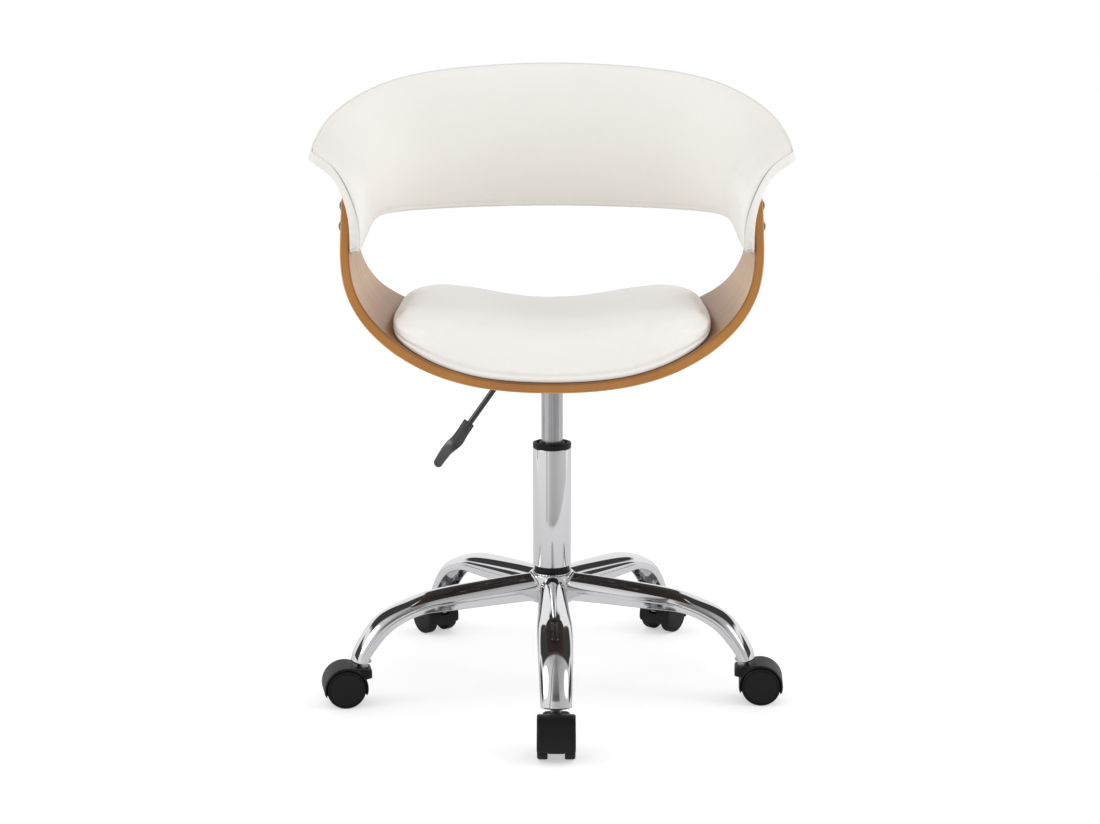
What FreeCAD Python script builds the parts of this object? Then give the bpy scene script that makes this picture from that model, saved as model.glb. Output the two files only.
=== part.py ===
import FreeCAD, Part
import math
import os

# Swivel desk chair: bent-plywood seat shell with a wrap-around upholstered
# back, gas-spring column and a five-leg base on twin-wheel casters.
# Millimetres.  +Z up, front of the chair towards -Y, origin on the swivel
# axis at floor level.  The lever is on the -X side.

os.makedirs("parts", exist_ok=True)
V = FreeCAD.Vector

# ----------------------------------------------------------------- dimensions
# casters
WHEEL_R = 25.0            # wheel radius
WHEEL_W = 12.6            # one wheel's width
WEB_HALF = 9.8            # half width of the web between the wheels
HOOD_R = 28.2             # hood outer radius
HOOD_IN_R = 25.9          # hood inner radius
HOOD_HALF = 23.4          # half width of the hood
TRAIL = 23.0              # stem axis to axle axis
AXLE_R = 4.0
STEM_R = 5.0
STEM_CIRCLE = 257.0       # radius of the circle of the five stems
RUN_CL = 0.06             # radial running clearance of pins and stems

# five-leg base
HUB_R = 29.0
HUB_Z0, HUB_Z1 = 114.0, 151.0
LEG_T = 2.2               # pressed steel thickness
BASE_TURN = 1.2           # how far the five-leg base is turned, degrees
LEG_ANGLES = {"leg_front": 0.0, "leg_front_left": -72.0, "leg_front_right": 72.0,
              "leg_rear_left": -144.0, "leg_rear_right": 144.0}
# leg top ridge and lower edge in the leg's own plane: (radius, height)
LEG_TOP = [(24, 152.0), (60, 150.2), (90, 148.0), (120, 145.6), (148, 142.8), (170, 139.4),
           (192, 133.2), (212, 126.0), (228, 118.2), (243, 107.0), (255, 92.5), (264, 78.0), (269.5, 66.0), (272.0, 56.5)]
LEG_BOT = [(24, 119.0), (60, 118.6), (90, 118.2), (120, 117.6), (148, 117.2), (170, 117.0),
           (188, 114.2), (204, 108.6), (218, 101.2), (230.5, 91.0), (240.5, 79.5), (248.0, 69.5), (252.5, 62.0), (255.0, 56.5)]
LEG_HALF = [17.5, 18.5, 19.6, 20.6, 21.4, 21.8, 21.8, 21.6, 21.2, 20.6, 20.0, 19.4, 19.0, 18.8]

# column
TUBE_R, TUBE_T = 25.0, 2.0
TUBE_Z0, TUBE_Z1 = 161.0, 318.0
CONE_R0, CONE_R1 = 19.5, 20.6      # taper of the tube foot in the hub
BUSH_Z1 = 325.0
CYL_R, CYL_IN = 14.0, 12.0
CYL_Z0, CYL_Z1 = 226.0, 412.6
SOCKET_Z0 = 394.0
PLATE_Z0, PLATE_T = 414.0, 2.5
PLATE_X, PLATE_Y, PLATE_RIM_Z = 72.0, 80.0, 408.0
ROD_R = 5.0

# seat shell
SHELL_T = 11.6
SHELL_IN = [(0, 438.0), (30, 438.6), (60, 440.9), (93, 446.0), (120, 453.0), (148, 463.2), (168, 472.8),
            (186, 483.2), (202, 494.6), (215, 505.6), (226, 517.8), (235, 531.6), (241, 545.0),
            (244.6, 559.0), (246.6, 574.0), (247.4, 590.0), (247.4, 606.0), (247.4, 630.0), (247.4, 662.0)]
# fore-and-aft outline of the shell: (Y, Z)
SHELL_FRONT = [(-205, 420), (-204.6, 432), (-202.5, 444), (-195, 459), (-184, 474), (-170, 488.5), (-155, 504),
               (-141, 522), (-129, 541), (-118, 561), (-109, 581), (-100, 600), (-93.5, 616), (-87, 629), (-79, 640), (-70, 647), (-60, 649.2)]
SHELL_REAR = [(-50, 647.6), (-38, 640), (-27, 629), (-14, 612), (2, 594), (22, 577), (47, 559.5), (76, 540.5),
              (104, 522.5), (132, 507.5), (158, 495), (181, 481), (196, 465), (203.5, 447), (205, 420)]

# back band, middle surface stations from the back centre (0) to the arm front (1)
B_S = [0.0, 0.12, 0.24, 0.36, 0.47, 0.57, 0.67, 0.76, 0.84, 0.92, 0.96, 1.0]
B_LX = [0, 66, 128, 187, 226, 238.5, 240.1, 240.1, 240.1, 240.1, 240.1, 240.1]
B_LY = [213, 208.5, 195, 170, 127.5, 77, 27, -14, -49, -81, -95.5, -109]
B_LZ = [614.5, 614, 613.2, 612, 610.5, 606.5, 600, 595.5, 591.5, 587.5, 585.5, 583.5]
B_UX = [0, 84, 161, 226, 270, 291.5, 298.5, 300, 299.5, 298, 296.7, 295]
B_UY = [243, 237, 217, 180, 133, 84, 36, 0, -28, -52, -63, -73]
B_UZ = [804.0, 801.0, 793.5, 778.5, 755.5, 734.5, 718.5, 709.0, 702.0, 695.5, 692.6, 689.5]
# start (share of the height) and sharpness of the outward flare
B_T0 = [0, 0, 0, 0, 0.03, 0.12, 0.25, 0.41, 0.51, 0.555, 0.46, 0.05]
B_P = [1.2, 1.2, 1.25, 1.4, 1.6, 1.8, 1.95, 2.0, 2.05, 2.1, 2.3, 3.0]
PAD_EDGE = 7.0            # half thickness of the band at its edges
PLY_HALF = 4.0            # half thickness of the space for the plywood core
CORE_HALF = 3.5           # half thickness of the plywood core
PAD_CROWN = 12.0          # extra padding in the middle of the back

# seat cushion
CUSH_HALF_X = 197.0
CUSH_Y0, CUSH_Y1 = -199.0, 190.0
CUSH_BASE_T = 4.0

# lever
PIVOT_X, PIVOT_Z = -34.0, 422.0
LEVER_R = 3.75
LEVER_ANGLE = math.radians(54.7)


# ----------------------------------------------------------------- helpers
def export(shape, name):
    shape.exportStep("parts/%s.step" % name)
    sol = len(shape.Solids)
    bb = shape.BoundBox
    print("%-22s solids %2d valid %s vol %10.1f  X %7.1f %7.1f Y %7.1f %7.1f Z %6.1f %6.1f" % (
        name, sol, shape.isValid(), shape.Volume, bb.XMin, bb.XMax, bb.YMin, bb.YMax, bb.ZMin, bb.ZMax))


def cyl(r, z0, z1, x=0.0, y=0.0):
    return Part.makeCylinder(r, z1 - z0, V(x, y, z0))


def ring(ro, ri, z0, z1, x=0.0, y=0.0):
    return cyl(ro, z0, z1, x, y).cut(cyl(ri, z0 - 1, z1 + 1, x, y))


def revolve(points):
    """Closed (radius, height) outline turned about the Z axis."""
    pts = [V(r, 0, z) for r, z in points]
    wire = Part.makePolygon(pts + [pts[0]])
    return Part.Face(wire).revolve(V(0, 0, 0), V(0, 0, 1), 360)


def box(x0, x1, y0, y1, z0, z1):
    return Part.makeBox(x1 - x0, y1 - y0, z1 - z0, V(x0, y0, z0))


def turned(shape, deg):
    s = shape.copy()
    s.rotate(V(0, 0, 0), V(0, 0, 1), deg)
    return s


def spline(points, tangents=None):
    b = Part.BSplineCurve()
    if tangents:
        b.interpolate(Points=points, InitialTangent=tangents[0], FinalTangent=tangents[1])
    else:
        b.interpolate(Points=points)
    return b.toShape()


def cubic(xs, ys):
    """Natural cubic spline through (xs, ys); returns a function."""
    n = len(xs)
    h = [xs[i + 1] - xs[i] for i in range(n - 1)]
    a = [0.0] * n
    b = [1.0] * n
    c = [0.0] * n
    d = [0.0] * n
    for i in range(1, n - 1):
        a[i] = h[i - 1]
        b[i] = 2 * (h[i - 1] + h[i])
        c[i] = h[i]
        d[i] = 6 * ((ys[i + 1] - ys[i]) / h[i] - (ys[i] - ys[i - 1]) / h[i - 1])
    for i in range(1, n):
        w = a[i] / b[i - 1]
        b[i] -= w * c[i - 1]
        d[i] -= w * d[i - 1]
    m = [0.0] * n
    m[-1] = d[-1] / b[-1]
    for i in range(n - 2, -1, -1):
        m[i] = (d[i] - c[i] * m[i + 1]) / b[i]

    def f(x):
        k = 0
        while k < n - 2 and x > xs[k + 1]:
            k += 1
        t = x - xs[k]
        hk = h[k]
        return (ys[k] + t * ((ys[k + 1] - ys[k]) / hk - hk * (2 * m[k] + m[k + 1]) / 6)
                + t * t * m[k] / 2 + t ** 3 * (m[k + 1] - m[k]) / (6 * hk))
    return f


def even(xs, ys):
    f = cubic([-x for x in xs[:0:-1]] + list(xs), list(ys[:0:-1]) + list(ys))
    return lambda s: f(s)


def odd(xs, ys):
    f = cubic([-x for x in xs[:0:-1]] + list(xs), [-y for y in ys[:0:-1]] + list(ys))
    return lambda s: f(s)


def even_poles(row):
    """Poles of the cubic spline through evenly spaced points, straight at both ends."""
    n = len(row) - 1
    a, b, d = [0.0] + [1.0] * n, [2.0] + [4.0] * (n - 1) + [2.0], []
    for i in range(n + 1):
        d.append(row[min(i + 1, n)].sub(row[max(i - 1, 0)]).multiply(3.0))
    for i in range(1, n + 1):
        w = a[i] / b[i - 1]
        b[i] -= w
        d[i] = d[i].sub(d[i - 1] * w)
    m = [None] * (n + 1)
    m[n] = d[n] * (1.0 / b[n])
    for i in range(n - 1, -1, -1):
        m[i] = d[i].sub(m[i + 1]) * (1.0 / b[i])
    mid = [(row[i] + m[i] * (1 / 3.0)) * 2.0 - (row[i + 1] - m[i + 1] * (1 / 3.0)) for i in range(1, n)]
    return [row[0], row[0] + m[0] * (1 / 3.0)] + mid + [row[n] - m[n] * (1 / 3.0), row[n]]


def grid_surface(g):
    """Smooth surface through a grid of points, evenly spaced in both parameters."""
    rows = [even_poles(r) for r in g]
    cols = [even_poles([r[j] for r in rows]) for j in range(len(rows[0]))]
    poles = [[c[i] for c in cols] for i in range(len(cols[0]))]
    nu, nv = len(g) - 1, len(g[0]) - 1
    surf = Part.BSplineSurface()
    surf.buildFromPolesMultsKnots(poles, [4] + [1] * (nu - 1) + [4], [4] + [1] * (nv - 1) + [4],
                                  [float(i) for i in range(nu + 1)], [float(i) for i in range(nv + 1)], False, False, 3, 3)
    return surf


def grid_solid(g0, g1):
    """Closed solid between two point grids of the same size."""
    s0, s1 = grid_surface(g0), grid_surface(g1)
    b0, b1 = s0.bounds(), s1.bounds()
    faces = [s0.toShape(), s1.toShape()]
    for k in (0, 1):
        faces.append(Part.makeRuledSurface(s0.uIso(b0[k]).toShape(), s1.uIso(b1[k]).toShape()))
        faces.append(Part.makeRuledSurface(s0.vIso(b0[2 + k]).toShape(), s1.vIso(b1[2 + k]).toShape()))
    shell = Part.makeShell(faces)
    shell.sewShape(0.001)
    if shell.ShapeType != "Shell":
        shell = shell.Shells[0]
    solid = Part.makeSolid(shell)
    if solid.Volume < 0:
        solid.reverse()
    return solid


# ----------------------------------------------------------------- casters
def caster_parts(cx, cy, heading):
    """One twin-wheel caster; heading is the direction from stem to axle (degrees)."""
    ax, az = TRAIL, WHEEL_R
    out = {}
    # hood: a curved mudguard over both wheels, joined to a web and a stem boss
    a0, a1 = -19.0, 199.0
    n = 40
    outer = [V(ax + HOOD_R * math.cos(math.radians(a0 + (a1 - a0) * i / n)), -HOOD_HALF,
               az + HOOD_R * math.sin(math.radians(a0 + (a1 - a0) * i / n))) for i in range(n + 1)]
    mid = math.radians(90)
    p0, p1, pm = outer[0], outer[-1], V(ax + HOOD_R * math.cos(mid), -HOOD_HALF, az + HOOD_R * math.sin(mid))
    b0 = math.radians(a0 + 5)
    b1 = math.radians(a1 - 5)
    q0 = V(ax + HOOD_IN_R * math.cos(b0), -HOOD_HALF, az + HOOD_IN_R * math.sin(b0))
    q1 = V(ax + HOOD_IN_R * math.cos(b1), -HOOD_HALF, az + HOOD_IN_R * math.sin(b1))
    qm = V(ax, -HOOD_HALF, az + HOOD_IN_R)
    wire = Part.Wire([Part.Arc(p0, pm, p1).toShape(), Part.LineSegment(p1, q1).toShape(),
                      Part.Arc(q1, qm, q0).toShape(), Part.LineSegment(q0, p0).toShape()])
    hood = Part.Face(wire).extrude(V(0, 2 * HOOD_HALF, 0))
    web = Part.makeCylinder(HOOD_R - 0.4, 2 * WEB_HALF, V(ax, -WEB_HALF, az), V(0, 1, 0))
    web = web.cut(box(ax - 40, ax + 40, -20, 20, -10, 14.5))
    boss = box(-11.0, ax - 8, -17.0, 17.0, 33.0, 47.5)
    wheel_space = Part.makeCylinder(HOOD_IN_R, 60, V(ax, -30, az), V(0, 1, 0))
    boss = boss.cut(wheel_space.common(box(-60, 90, -40, -WEB_HALF, 0, 90)))
    boss = boss.cut(wheel_space.common(box(-60, 90, WEB_HALF, 40, 0, 90)))
    boss = boss.fuse(cyl(10.5, 30.0, 47.5))
    boss = boss.cut(wheel_space.common(box(-60, 90, -40, -WEB_HALF, 0, 90)))
    boss = boss.cut(wheel_space.common(box(-60, 90, WEB_HALF, 40, 0, 90)))
    body = hood.fuse(web).fuse(boss).removeSplitter()
    body = body.cut(cyl(STEM_R, 33.0, 60.0)).cut(cyl(7.3, 47.5, 60.0))
    body = body.cut(Part.makeCylinder(AXLE_R, 60, V(ax, -30, az), V(0, 1, 0)))
    out["hood"] = body
    # stem: pressed into the boss, collar, journal in the leg socket, domed tip
    stem = revolve([(0, 33.0), (STEM_R, 33.0), (STEM_R, 47.5), (7.0, 47.5), (7.0, 56.6), (STEM_R, 56.6),
                    (STEM_R, 72.0), (4.0, 72.6), (4.0, 76.0), (3.3, 78.2), (1.8, 79.4), (0, 79.8)])
    out["stem"] = stem
    out["axle"] = Part.makeCylinder(AXLE_R, 2 * (WEB_HALF + 11.0), V(ax, -(WEB_HALF + 11.0), az), V(0, 1, 0))
    y_in = WEB_HALF + 0.4
    for tag, sg in (("a", -1), ("b", 1)):
        w = Part.makeCylinder(WHEEL_R, WHEEL_W, V(ax, y_in, az), V(0, 1, 0))
        rim = [e for e in w.Edges if abs(e.Length - 2 * math.pi * WHEEL_R) < 0.1]
        w = w.makeFillet(2.2, rim)
        w = w.cut(Part.makeCylinder(AXLE_R + RUN_CL, 10.9, V(ax, y_in - 0.1, az), V(0, 1, 0)))
        # recess ring on the inner side
        w = w.cut(Part.makeCylinder(20.0, 6.0, V(ax, y_in - 0.1, az), V(0, 1, 0)).cut(
            Part.makeCylinder(8.0, 8.0, V(ax, y_in - 1, az), V(0, 1, 0))))
        if sg < 0:
            w = w.mirror(V(0, 0, 0), V(0, 1, 0))
        out["wheel_" + tag] = w
    for k in out:
        s = out[k]
        s.rotate(V(0, 0, 0), V(0, 0, 1), heading)
        s.translate(V(cx, cy, 0))
    return out


# caster name -> (leg angle from the front towards +X, heading of the trail, degrees)
CASTERS = {
    "front": (0.0, -90.0),
    "front_left": (-72.0, 192.0),
    "front_right": (72.0, -5.0),
    "rear_left": (-144.0, 90.0 + 36.0),
    "rear_right": (144.0, 90.0 - 36.0),
}
for name in CASTERS:
    ang, head = CASTERS[name]
    ang += BASE_TURN
    cx = STEM_CIRCLE * math.sin(math.radians(ang))
    cy = -STEM_CIRCLE * math.cos(math.radians(ang))
    for k, s in caster_parts(cx, cy, head).items():
        export(s, "caster_%s_%s" % (name, k))


# ----------------------------------------------------------------- legs
def leg_section(i, grow_in, drop):
    """Closed wire of one leg section, in the leg's own plane X = radius."""
    rt, zt = LEG_TOP[i]
    rb, zb = LEG_BOT[i]
    hw = LEG_HALF[i] - grow_in
    ux, uz = rt - rb, zt - zb
    H = math.hypot(ux, uz)
    ux, uz = ux / H, uz / H
    H -= grow_in
    lo = -drop

    def P(y, u):
        return V(rb + ux * u, y, zb + uz * u)
    side = H * 0.42
    pts = [P(-hw, lo), P(-hw, lo + (side - lo) * 0.5), P(-hw * 0.995, side)]
    m = 7
    for k in range(1, m):
        a = math.pi * k / m
        pts.append(P(-hw * math.copysign(abs(math.cos(a)) ** 0.72, math.cos(a)), side + (H - side) * math.sin(a) ** 0.80))
    pts += [P(hw * 0.995, side), P(hw, lo + (side - lo) * 0.5), P(hw, lo)]
    arc = spline(pts)
    return Part.Wire([arc, Part.LineSegment(pts[-1], pts[0]).toShape()])


leg_outer = Part.makeLoft([leg_section(i, 0.0, 0.0) for i in range(len(LEG_TOP))], True, False)
leg_inner = Part.makeLoft([leg_section(i, LEG_T, 4.0) for i in range(len(LEG_TOP))], True, False)
leg = leg_outer.cut(leg_inner)
floor_cut = box(200, 320, -60, 60, 40.0, 56.9)
leg = leg.cut(floor_cut).cut(cyl(HUB_R, 90, 170))
leg = max(leg.Solids, key=lambda s: s.Volume)

# caster socket inside the leg end: end plate and sleeve around the stem
socket = box(240, 285, -30, 30, 57.4, 60.4).common(leg_inner)
socket = socket.fuse(cyl(7.6, 57.4, 71.0, STEM_CIRCLE, 0))
socket = socket.common(leg_inner.fuse(box(235, STEM_CIRCLE, -12, 12, 50, 80)))
socket = socket.cut(cyl(STEM_R + RUN_CL, 50, 90, STEM_CIRCLE, 0))
socket = max(socket.Solids, key=lambda s: s.Volume)

sockets = []
for name, ang in LEG_ANGLES.items():
    turn = -90.0 + ang + BASE_TURN
    export(turned(leg, turn), name)
    sockets.append(turned(socket, turn))
export(Part.makeCompound(sockets), "stem_sockets")

# ----------------------------------------------------------------- hub and column
hub = revolve([(CONE_R0, HUB_Z0), (HUB_R, HUB_Z0), (HUB_R, HUB_Z1 - 1.0), (HUB_R - 1.0, HUB_Z1), (CONE_R1, HUB_Z1)])
export(hub, "hub")
export(ring(23.0, CONE_R1 + 0.4, HUB_Z1, TUBE_Z0 - 0.4), "hub_cap_ring")

tube = revolve([(ROD_R + 0.2, 112.0), (CONE_R0 - 0.05, 112.0), (CONE_R0 - 0.05, HUB_Z0), (CONE_R1 - 0.05, HUB_Z1),
                (CONE_R1 - 0.05, TUBE_Z0), (TUBE_R - 0.8, TUBE_Z0), (TUBE_R, TUBE_Z0 + 0.8), (TUBE_R, TUBE_Z1),
                (TUBE_R - TUBE_T, TUBE_Z1), (TUBE_R - TUBE_T, 166.0), (17.0, 163.0), (17.0, 116.0), (ROD_R + 0.2, 116.0)])
export(tube, "stand_tube")

bush = revolve([(CYL_R + 0.05, 240.0), (TUBE_R - TUBE_T - 0.02, 240.0), (TUBE_R - TUBE_T - 0.02, TUBE_Z1), (TUBE_R, TUBE_Z1),
                (TUBE_R, BUSH_Z1 - 1.0), (TUBE_R - 1.0, BUSH_Z1), (CYL_R + 0.05, BUSH_Z1)])
export(bush, "tube_bushing")

export(ring(11.0, ROD_R + 0.25, 116.0, 118.0), "thrust_washer")
balls = [Part.makeSphere(2.0, V(8.2 * math.cos(math.radians(a)), 8.2 * math.sin(math.radians(a)), 120.0))
         for a in range(0, 360, 36)]
export(Part.makeCompound(balls), "thrust_balls")

# piston rod: clip groove below the tube foot, shoulder on the thrust balls
rod = revolve([(0, 104.0), (ROD_R - 0.5, 104.0), (ROD_R, 104.5), (ROD_R, 108.0), (3.6, 108.0), (3.6, 110.0), (ROD_R, 110.0),
               (ROD_R, 122.05), (11.0, 122.05), (11.0, 126.0), (ROD_R, 126.0), (ROD_R, 312.0), (3.5, 312.0), (3.5, 322.0), (0, 322.0)])
export(rod, "piston_rod")
clip = ring(9.0, 3.7, 108.3, 109.8).cut(box(0, 12, -2.4, 2.4, 100, 115))
export(clip, "retaining_clip")
export(ring(CYL_IN - 0.1, 3.5, 312.0, 320.0), "piston")
export(ring(10.5, ROD_R + 0.1, 126.2, 146.0), "bump_stop")

# gas cylinder with its end gland
gas = revolve([(CYL_IN, CYL_Z0), (CYL_R, CYL_Z0), (CYL_R, SOCKET_Z0), (CYL_R - 0.6, CYL_Z1), (4.6, CYL_Z1), (4.6, 402.0),
               (0, 402.0), (0, 388.0), (CYL_IN, 388.0)])
export(gas, "gas_cylinder")
export(ring(CYL_IN, ROD_R + 0.05, CYL_Z0, CYL_Z0 + 18.0), "cylinder_gland")

button = cyl(4.5, 406.5, 418.1).common(Part.makeSphere(8.0, V(0, 0, 410.1)).fuse(cyl(6, 400, 414)))
export(button, "release_button")

# ----------------------------------------------------------------- seat shell
half = [V(x, 0, z) for x, z in SHELL_IN]
prof_in = [V(-p.x, 0, p.z) for p in half[:0:-1]] + half


def offset_line(pts, d):
    out = []
    n = len(pts)
    for i in range(n):
        a, b = pts[max(i - 1, 0)], pts[min(i + 1, n - 1)]
        t = b.sub(a)
        t.normalize()
        out.append(V(pts[i].x + t.z * d, 0, pts[i].z - t.x * d))
    out[0] = V(-abs(pts[0].x) - d, 0, pts[0].z)
    out[-1] = V(abs(pts[-1].x) + d, 0, pts[-1].z)
    return out


prof_out = offset_line(prof_in, SHELL_T)


def band_face(p_in, p_out, y):
    a = spline([V(p.x, y, p.z) for p in p_in])
    b = spline([V(p.x, y, p.z) for p in p_out])
    e1 = Part.LineSegment(V(p_in[0].x, y, p_in[0].z), V(p_out[0].x, y, p_out[0].z)).toShape()
    e2 = Part.LineSegment(V(p_in[-1].x, y, p_in[-1].z), V(p_out[-1].x, y, p_out[-1].z)).toShape()
    return Part.Face(Part.Wire(Part.__sortEdges__([a, e1, b, e2])))


shell_prism = band_face(prof_in, prof_out, -230.0).extrude(V(0, 460, 0))
outline_pts = [V(-300, y, z) for y, z in SHELL_FRONT + SHELL_REAR]
outline = Part.Wire([spline(outline_pts), Part.LineSegment(outline_pts[-1], outline_pts[0]).toShape()])
shell = shell_prism.common(Part.Face(outline).extrude(V(600, 0, 0)))
shell = max(shell.Solids, key=lambda s: s.Volume)

below = Part.Face(Part.Wire([spline([V(p.x, -230, p.z) for p in prof_out]),
                             Part.LineSegment(V(prof_out[-1].x, -230, prof_out[-1].z), V(300, -230, prof_out[-1].z)).toShape(),
                             Part.LineSegment(V(300, -230, prof_out[-1].z), V(300, -230, 380)).toShape(),
                             Part.LineSegment(V(300, -230, 380), V(-300, -230, 380)).toShape(),
                             Part.LineSegment(V(-300, -230, 380), V(-300, -230, prof_out[0].z)).toShape(),
                             Part.LineSegment(V(-300, -230, prof_out[0].z), V(prof_out[0].x, -230, prof_out[0].z)).toShape()]))
below_shell = below.extrude(V(0, 460, 0))

# fixing points of the mechanism plate and of the arms
BOLT_X, BOLT_Y = 55.0, 62.0
BOLTS = [(sx * BOLT_X, sy * BOLT_Y) for sx in (-1, 1) for sy in (-1, 1)]
ARM_SCREWS = [(-74.0, 612.0), (-60.0, 636.0)]     # (Y, Z) on both arms
for x, y in BOLTS:
    shell = shell.cut(cyl(4.3, 400, 470, x, y)).cut(cyl(8.6, 438.6, 460, x, y))
for y, z in ARM_SCREWS:
    shell = shell.cut(Part.makeCylinder(3.3, 600, V(-300, y, z), V(1, 0, 0)))
export(shell, "seat_shell")

tees, bolts, spacers = [], [], []
for x, y in BOLTS:
    t = cyl(4.2, 431.5, 438.6, x, y).fuse(cyl(8.5, 438.6, 439.6, x, y)).cut(cyl(3.05, 400, 460, x, y))
    tees.append(t)
    b = cyl(3.0, PLATE_Z0, 437.5, x, y).fuse(cyl(5.6, PLATE_Z0 - 4.2, PLATE_Z0, x, y))
    bolts.append(b.cut(Part.makePolygon([V(x + 2.6 * math.cos(math.radians(a)), y + 2.6 * math.sin(math.radians(a)), PLATE_Z0 - 4.2)
                                         for a in range(0, 361, 60)]).Wires[0] and
                       Part.Face(Part.makePolygon([V(x + 2.6 * math.cos(math.radians(a)), y + 2.6 * math.sin(math.radians(a)), PLATE_Z0 - 4.2)
                                                   for a in range(0, 361, 60)])).extrude(V(0, 0, 2.6))))
    sp = ring(10.0, 3.3, PLATE_Z0 + PLATE_T, 440.0, x, y).common(below_shell)
    spacers.append(max(sp.Solids, key=lambda s: s.Volume))
export(Part.makeCompound(tees), "tee_nuts")
export(Part.makeCompound(bolts), "seat_bolts")
export(Part.makeCompound(spacers), "mount_spacers")

# mechanism plate: pressed plate with a down-turned rim, taper socket, pivot ears
plate = box(-PLATE_X, PLATE_X, -PLATE_Y, PLATE_Y, PLATE_Z0, PLATE_Z0 + PLATE_T)
plate = plate.makeFillet(12.0, [e for e in plate.Edges if abs(e.Vertexes[0].X - e.Vertexes[1].X) < 0.01
                                and abs(e.Vertexes[0].Y - e.Vertexes[1].Y) < 0.01])
rim = box(-PLATE_X, PLATE_X, -PLATE_Y, PLATE_Y, PLATE_RIM_Z, PLATE_Z0)
rim = rim.makeFillet(12.0, [e for e in rim.Edges if abs(e.Vertexes[0].X - e.Vertexes[1].X) < 0.01
                            and abs(e.Vertexes[0].Y - e.Vertexes[1].Y) < 0.01])
core = box(-PLATE_X + PLATE_T, PLATE_X - PLATE_T, -PLATE_Y + PLATE_T, PLATE_Y - PLATE_T, 400.0, 420.0)
core = core.makeFillet(9.5, [e for e in core.Edges if abs(e.Vertexes[0].X - e.Vertexes[1].X) < 0.01
                             and abs(e.Vertexes[0].Y - e.Vertexes[1].Y) < 0.01])
rim = rim.cut(core)
plate = plate.fuse(rim)
plate = plate.fuse(cyl(20.0, SOCKET_Z0 + 0.4, PLATE_Z0 + 0.5))
for sy in (-1, 1):
    ear = box(PIVOT_X - 5.0, PIVOT_X + 5.0, min(sy * 4.6, sy * 7.1), max(sy * 4.6, sy * 7.1), PLATE_Z0 + 1, 425.6)
    plate = plate.fuse(ear)
plate = plate.removeSplitter()
plate = plate.cut(Part.makeCone(CYL_R + 0.03, CYL_R - 0.6 + 0.03, CYL_Z1 - SOCKET_Z0, V(0, 0, SOCKET_Z0)))
plate = plate.cut(cyl(CYL_R - 0.57, CYL_Z1 - 0.1, 420.0))
plate = plate.cut(box(-26.0, 12.0, -4.5, 4.5, 415.0, 420.0))       # relief under the lever
plate = plate.cut(box(-90, -46, -6.5, 6.5, 398, 420))
plate = plate.cut(Part.makeCylinder(2.05, 40, V(PIVOT_X, -20, PIVOT_Z), V(0, 1, 0)))
for x, y in BOLTS:
    plate = plate.cut(cyl(3.3, 400, 430, x, y))
export(plate, "seat_plate")
export(Part.makeCylinder(2.0, 17.0, V(PIVOT_X, -8.5, PIVOT_Z), V(0, 1, 0)), "lever_pivot_pin")

# ----------------------------------------------------------------- lever
dx, dz = -math.cos(LEVER_ANGLE), -math.sin(LEVER_ANGLE)
corner_x = -55.5
bend_r = 20.0
tan_len = bend_r * math.tan(LEVER_ANGLE / 2)
a0 = V(6.0, 0, PIVOT_Z)
a1 = V(corner_x + tan_len, 0, PIVOT_Z)
centre = V(a1.x, 0, PIVOT_Z - bend_r)
a2 = V(corner_x + dx * tan_len, 0, PIVOT_Z + dz * tan_len)
half_ang = LEVER_ANGLE / 2
am = V(centre.x - bend_r * math.sin(half_ang), 0, centre.z + bend_r * math.cos(half_ang))
ROD_LEN = 104.0                      # straight length below the bend
a3 = V(a2.x + dx * ROD_LEN, 0, a2.z + dz * ROD_LEN)
path = Part.Wire([Part.LineSegment(a0, a1).toShape(), Part.Arc(a1, am, a2).toShape(), Part.LineSegment(a2, a3).toShape()])
prof = Part.Wire(Part.makeCircle(LEVER_R, a0, V(-1, 0, 0)))
lever = path.makePipeShell([prof], True, False)
lever = lever.cut(Part.makeCylinder(2.06, 40, V(PIVOT_X, -20, PIVOT_Z), V(0, 1, 0)))
export(lever, "lever_rod")

# paddle handle on the rod end: elliptical sections along the rod
HANDLE_LEN = 73.0
h0 = V(a3.x - dx * 24.0, 0, a3.z - dz * 24.0)
side_v = V(-dz, 0, dx)               # in-plane direction across the rod
wires = []
for u, wid, thk, shift in ((0, 6.8, 5.6, 0), (4, 7.6, 6.0, 0), (18, 8.2, 6.0, 0.2), (34, 9.4, 5.8, 0.4), (48, 8.8, 5.2, 0.6),
                           (60, 7.0, 4.4, 0.4), (69, 4.6, 3.4, 0.0), (HANDLE_LEN, 2.2, 1.8, 0.0)):
    c = V(h0.x + dx * u + side_v.x * shift, 0, h0.z + dz * u + side_v.z * shift)
    e = Part.Ellipse(V(0, 0, 0), max(wid, thk), min(wid, thk)).toShape()
    pl = FreeCAD.Placement(FreeCAD.Matrix(side_v.x, 0, dx, c.x, 0, -1, 0, c.y, side_v.z, 0, dz, c.z, 0, 0, 0, 1))
    e.Placement = pl
    wires.append(Part.Wire([e]))
handle = Part.makeLoft(wires, True, False)
bore = Part.makeCylinder(LEVER_R, 24.0, V(a3.x - dx * 24.0, 0, a3.z - dz * 24.0), V(dx, 0, dz))
handle = handle.cut(bore)
export(handle, "lever_handle")

# ----------------------------------------------------------------- seat cushion
shell_z = cubic([p[0] for p in SHELL_IN[:12]], [p[1] for p in SHELL_IN[:12]])


def base_top(x):
    """Height of the upper face of the thin panel below the cushion."""
    d = (shell_z(x + 0.5) - shell_z(x - 0.5)) if x > 0.5 else 0.0
    return shell_z(x) + (CUSH_BASE_T + 0.25) * math.sqrt(1 + d * d)


def top_z(x):
    """Height of the cushion's upper face in the middle of its depth."""
    return (490.5 + 19.0 * (1 - math.cos(min(abs(x), 172.0) / 172.0 * math.pi)) / 2)


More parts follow.
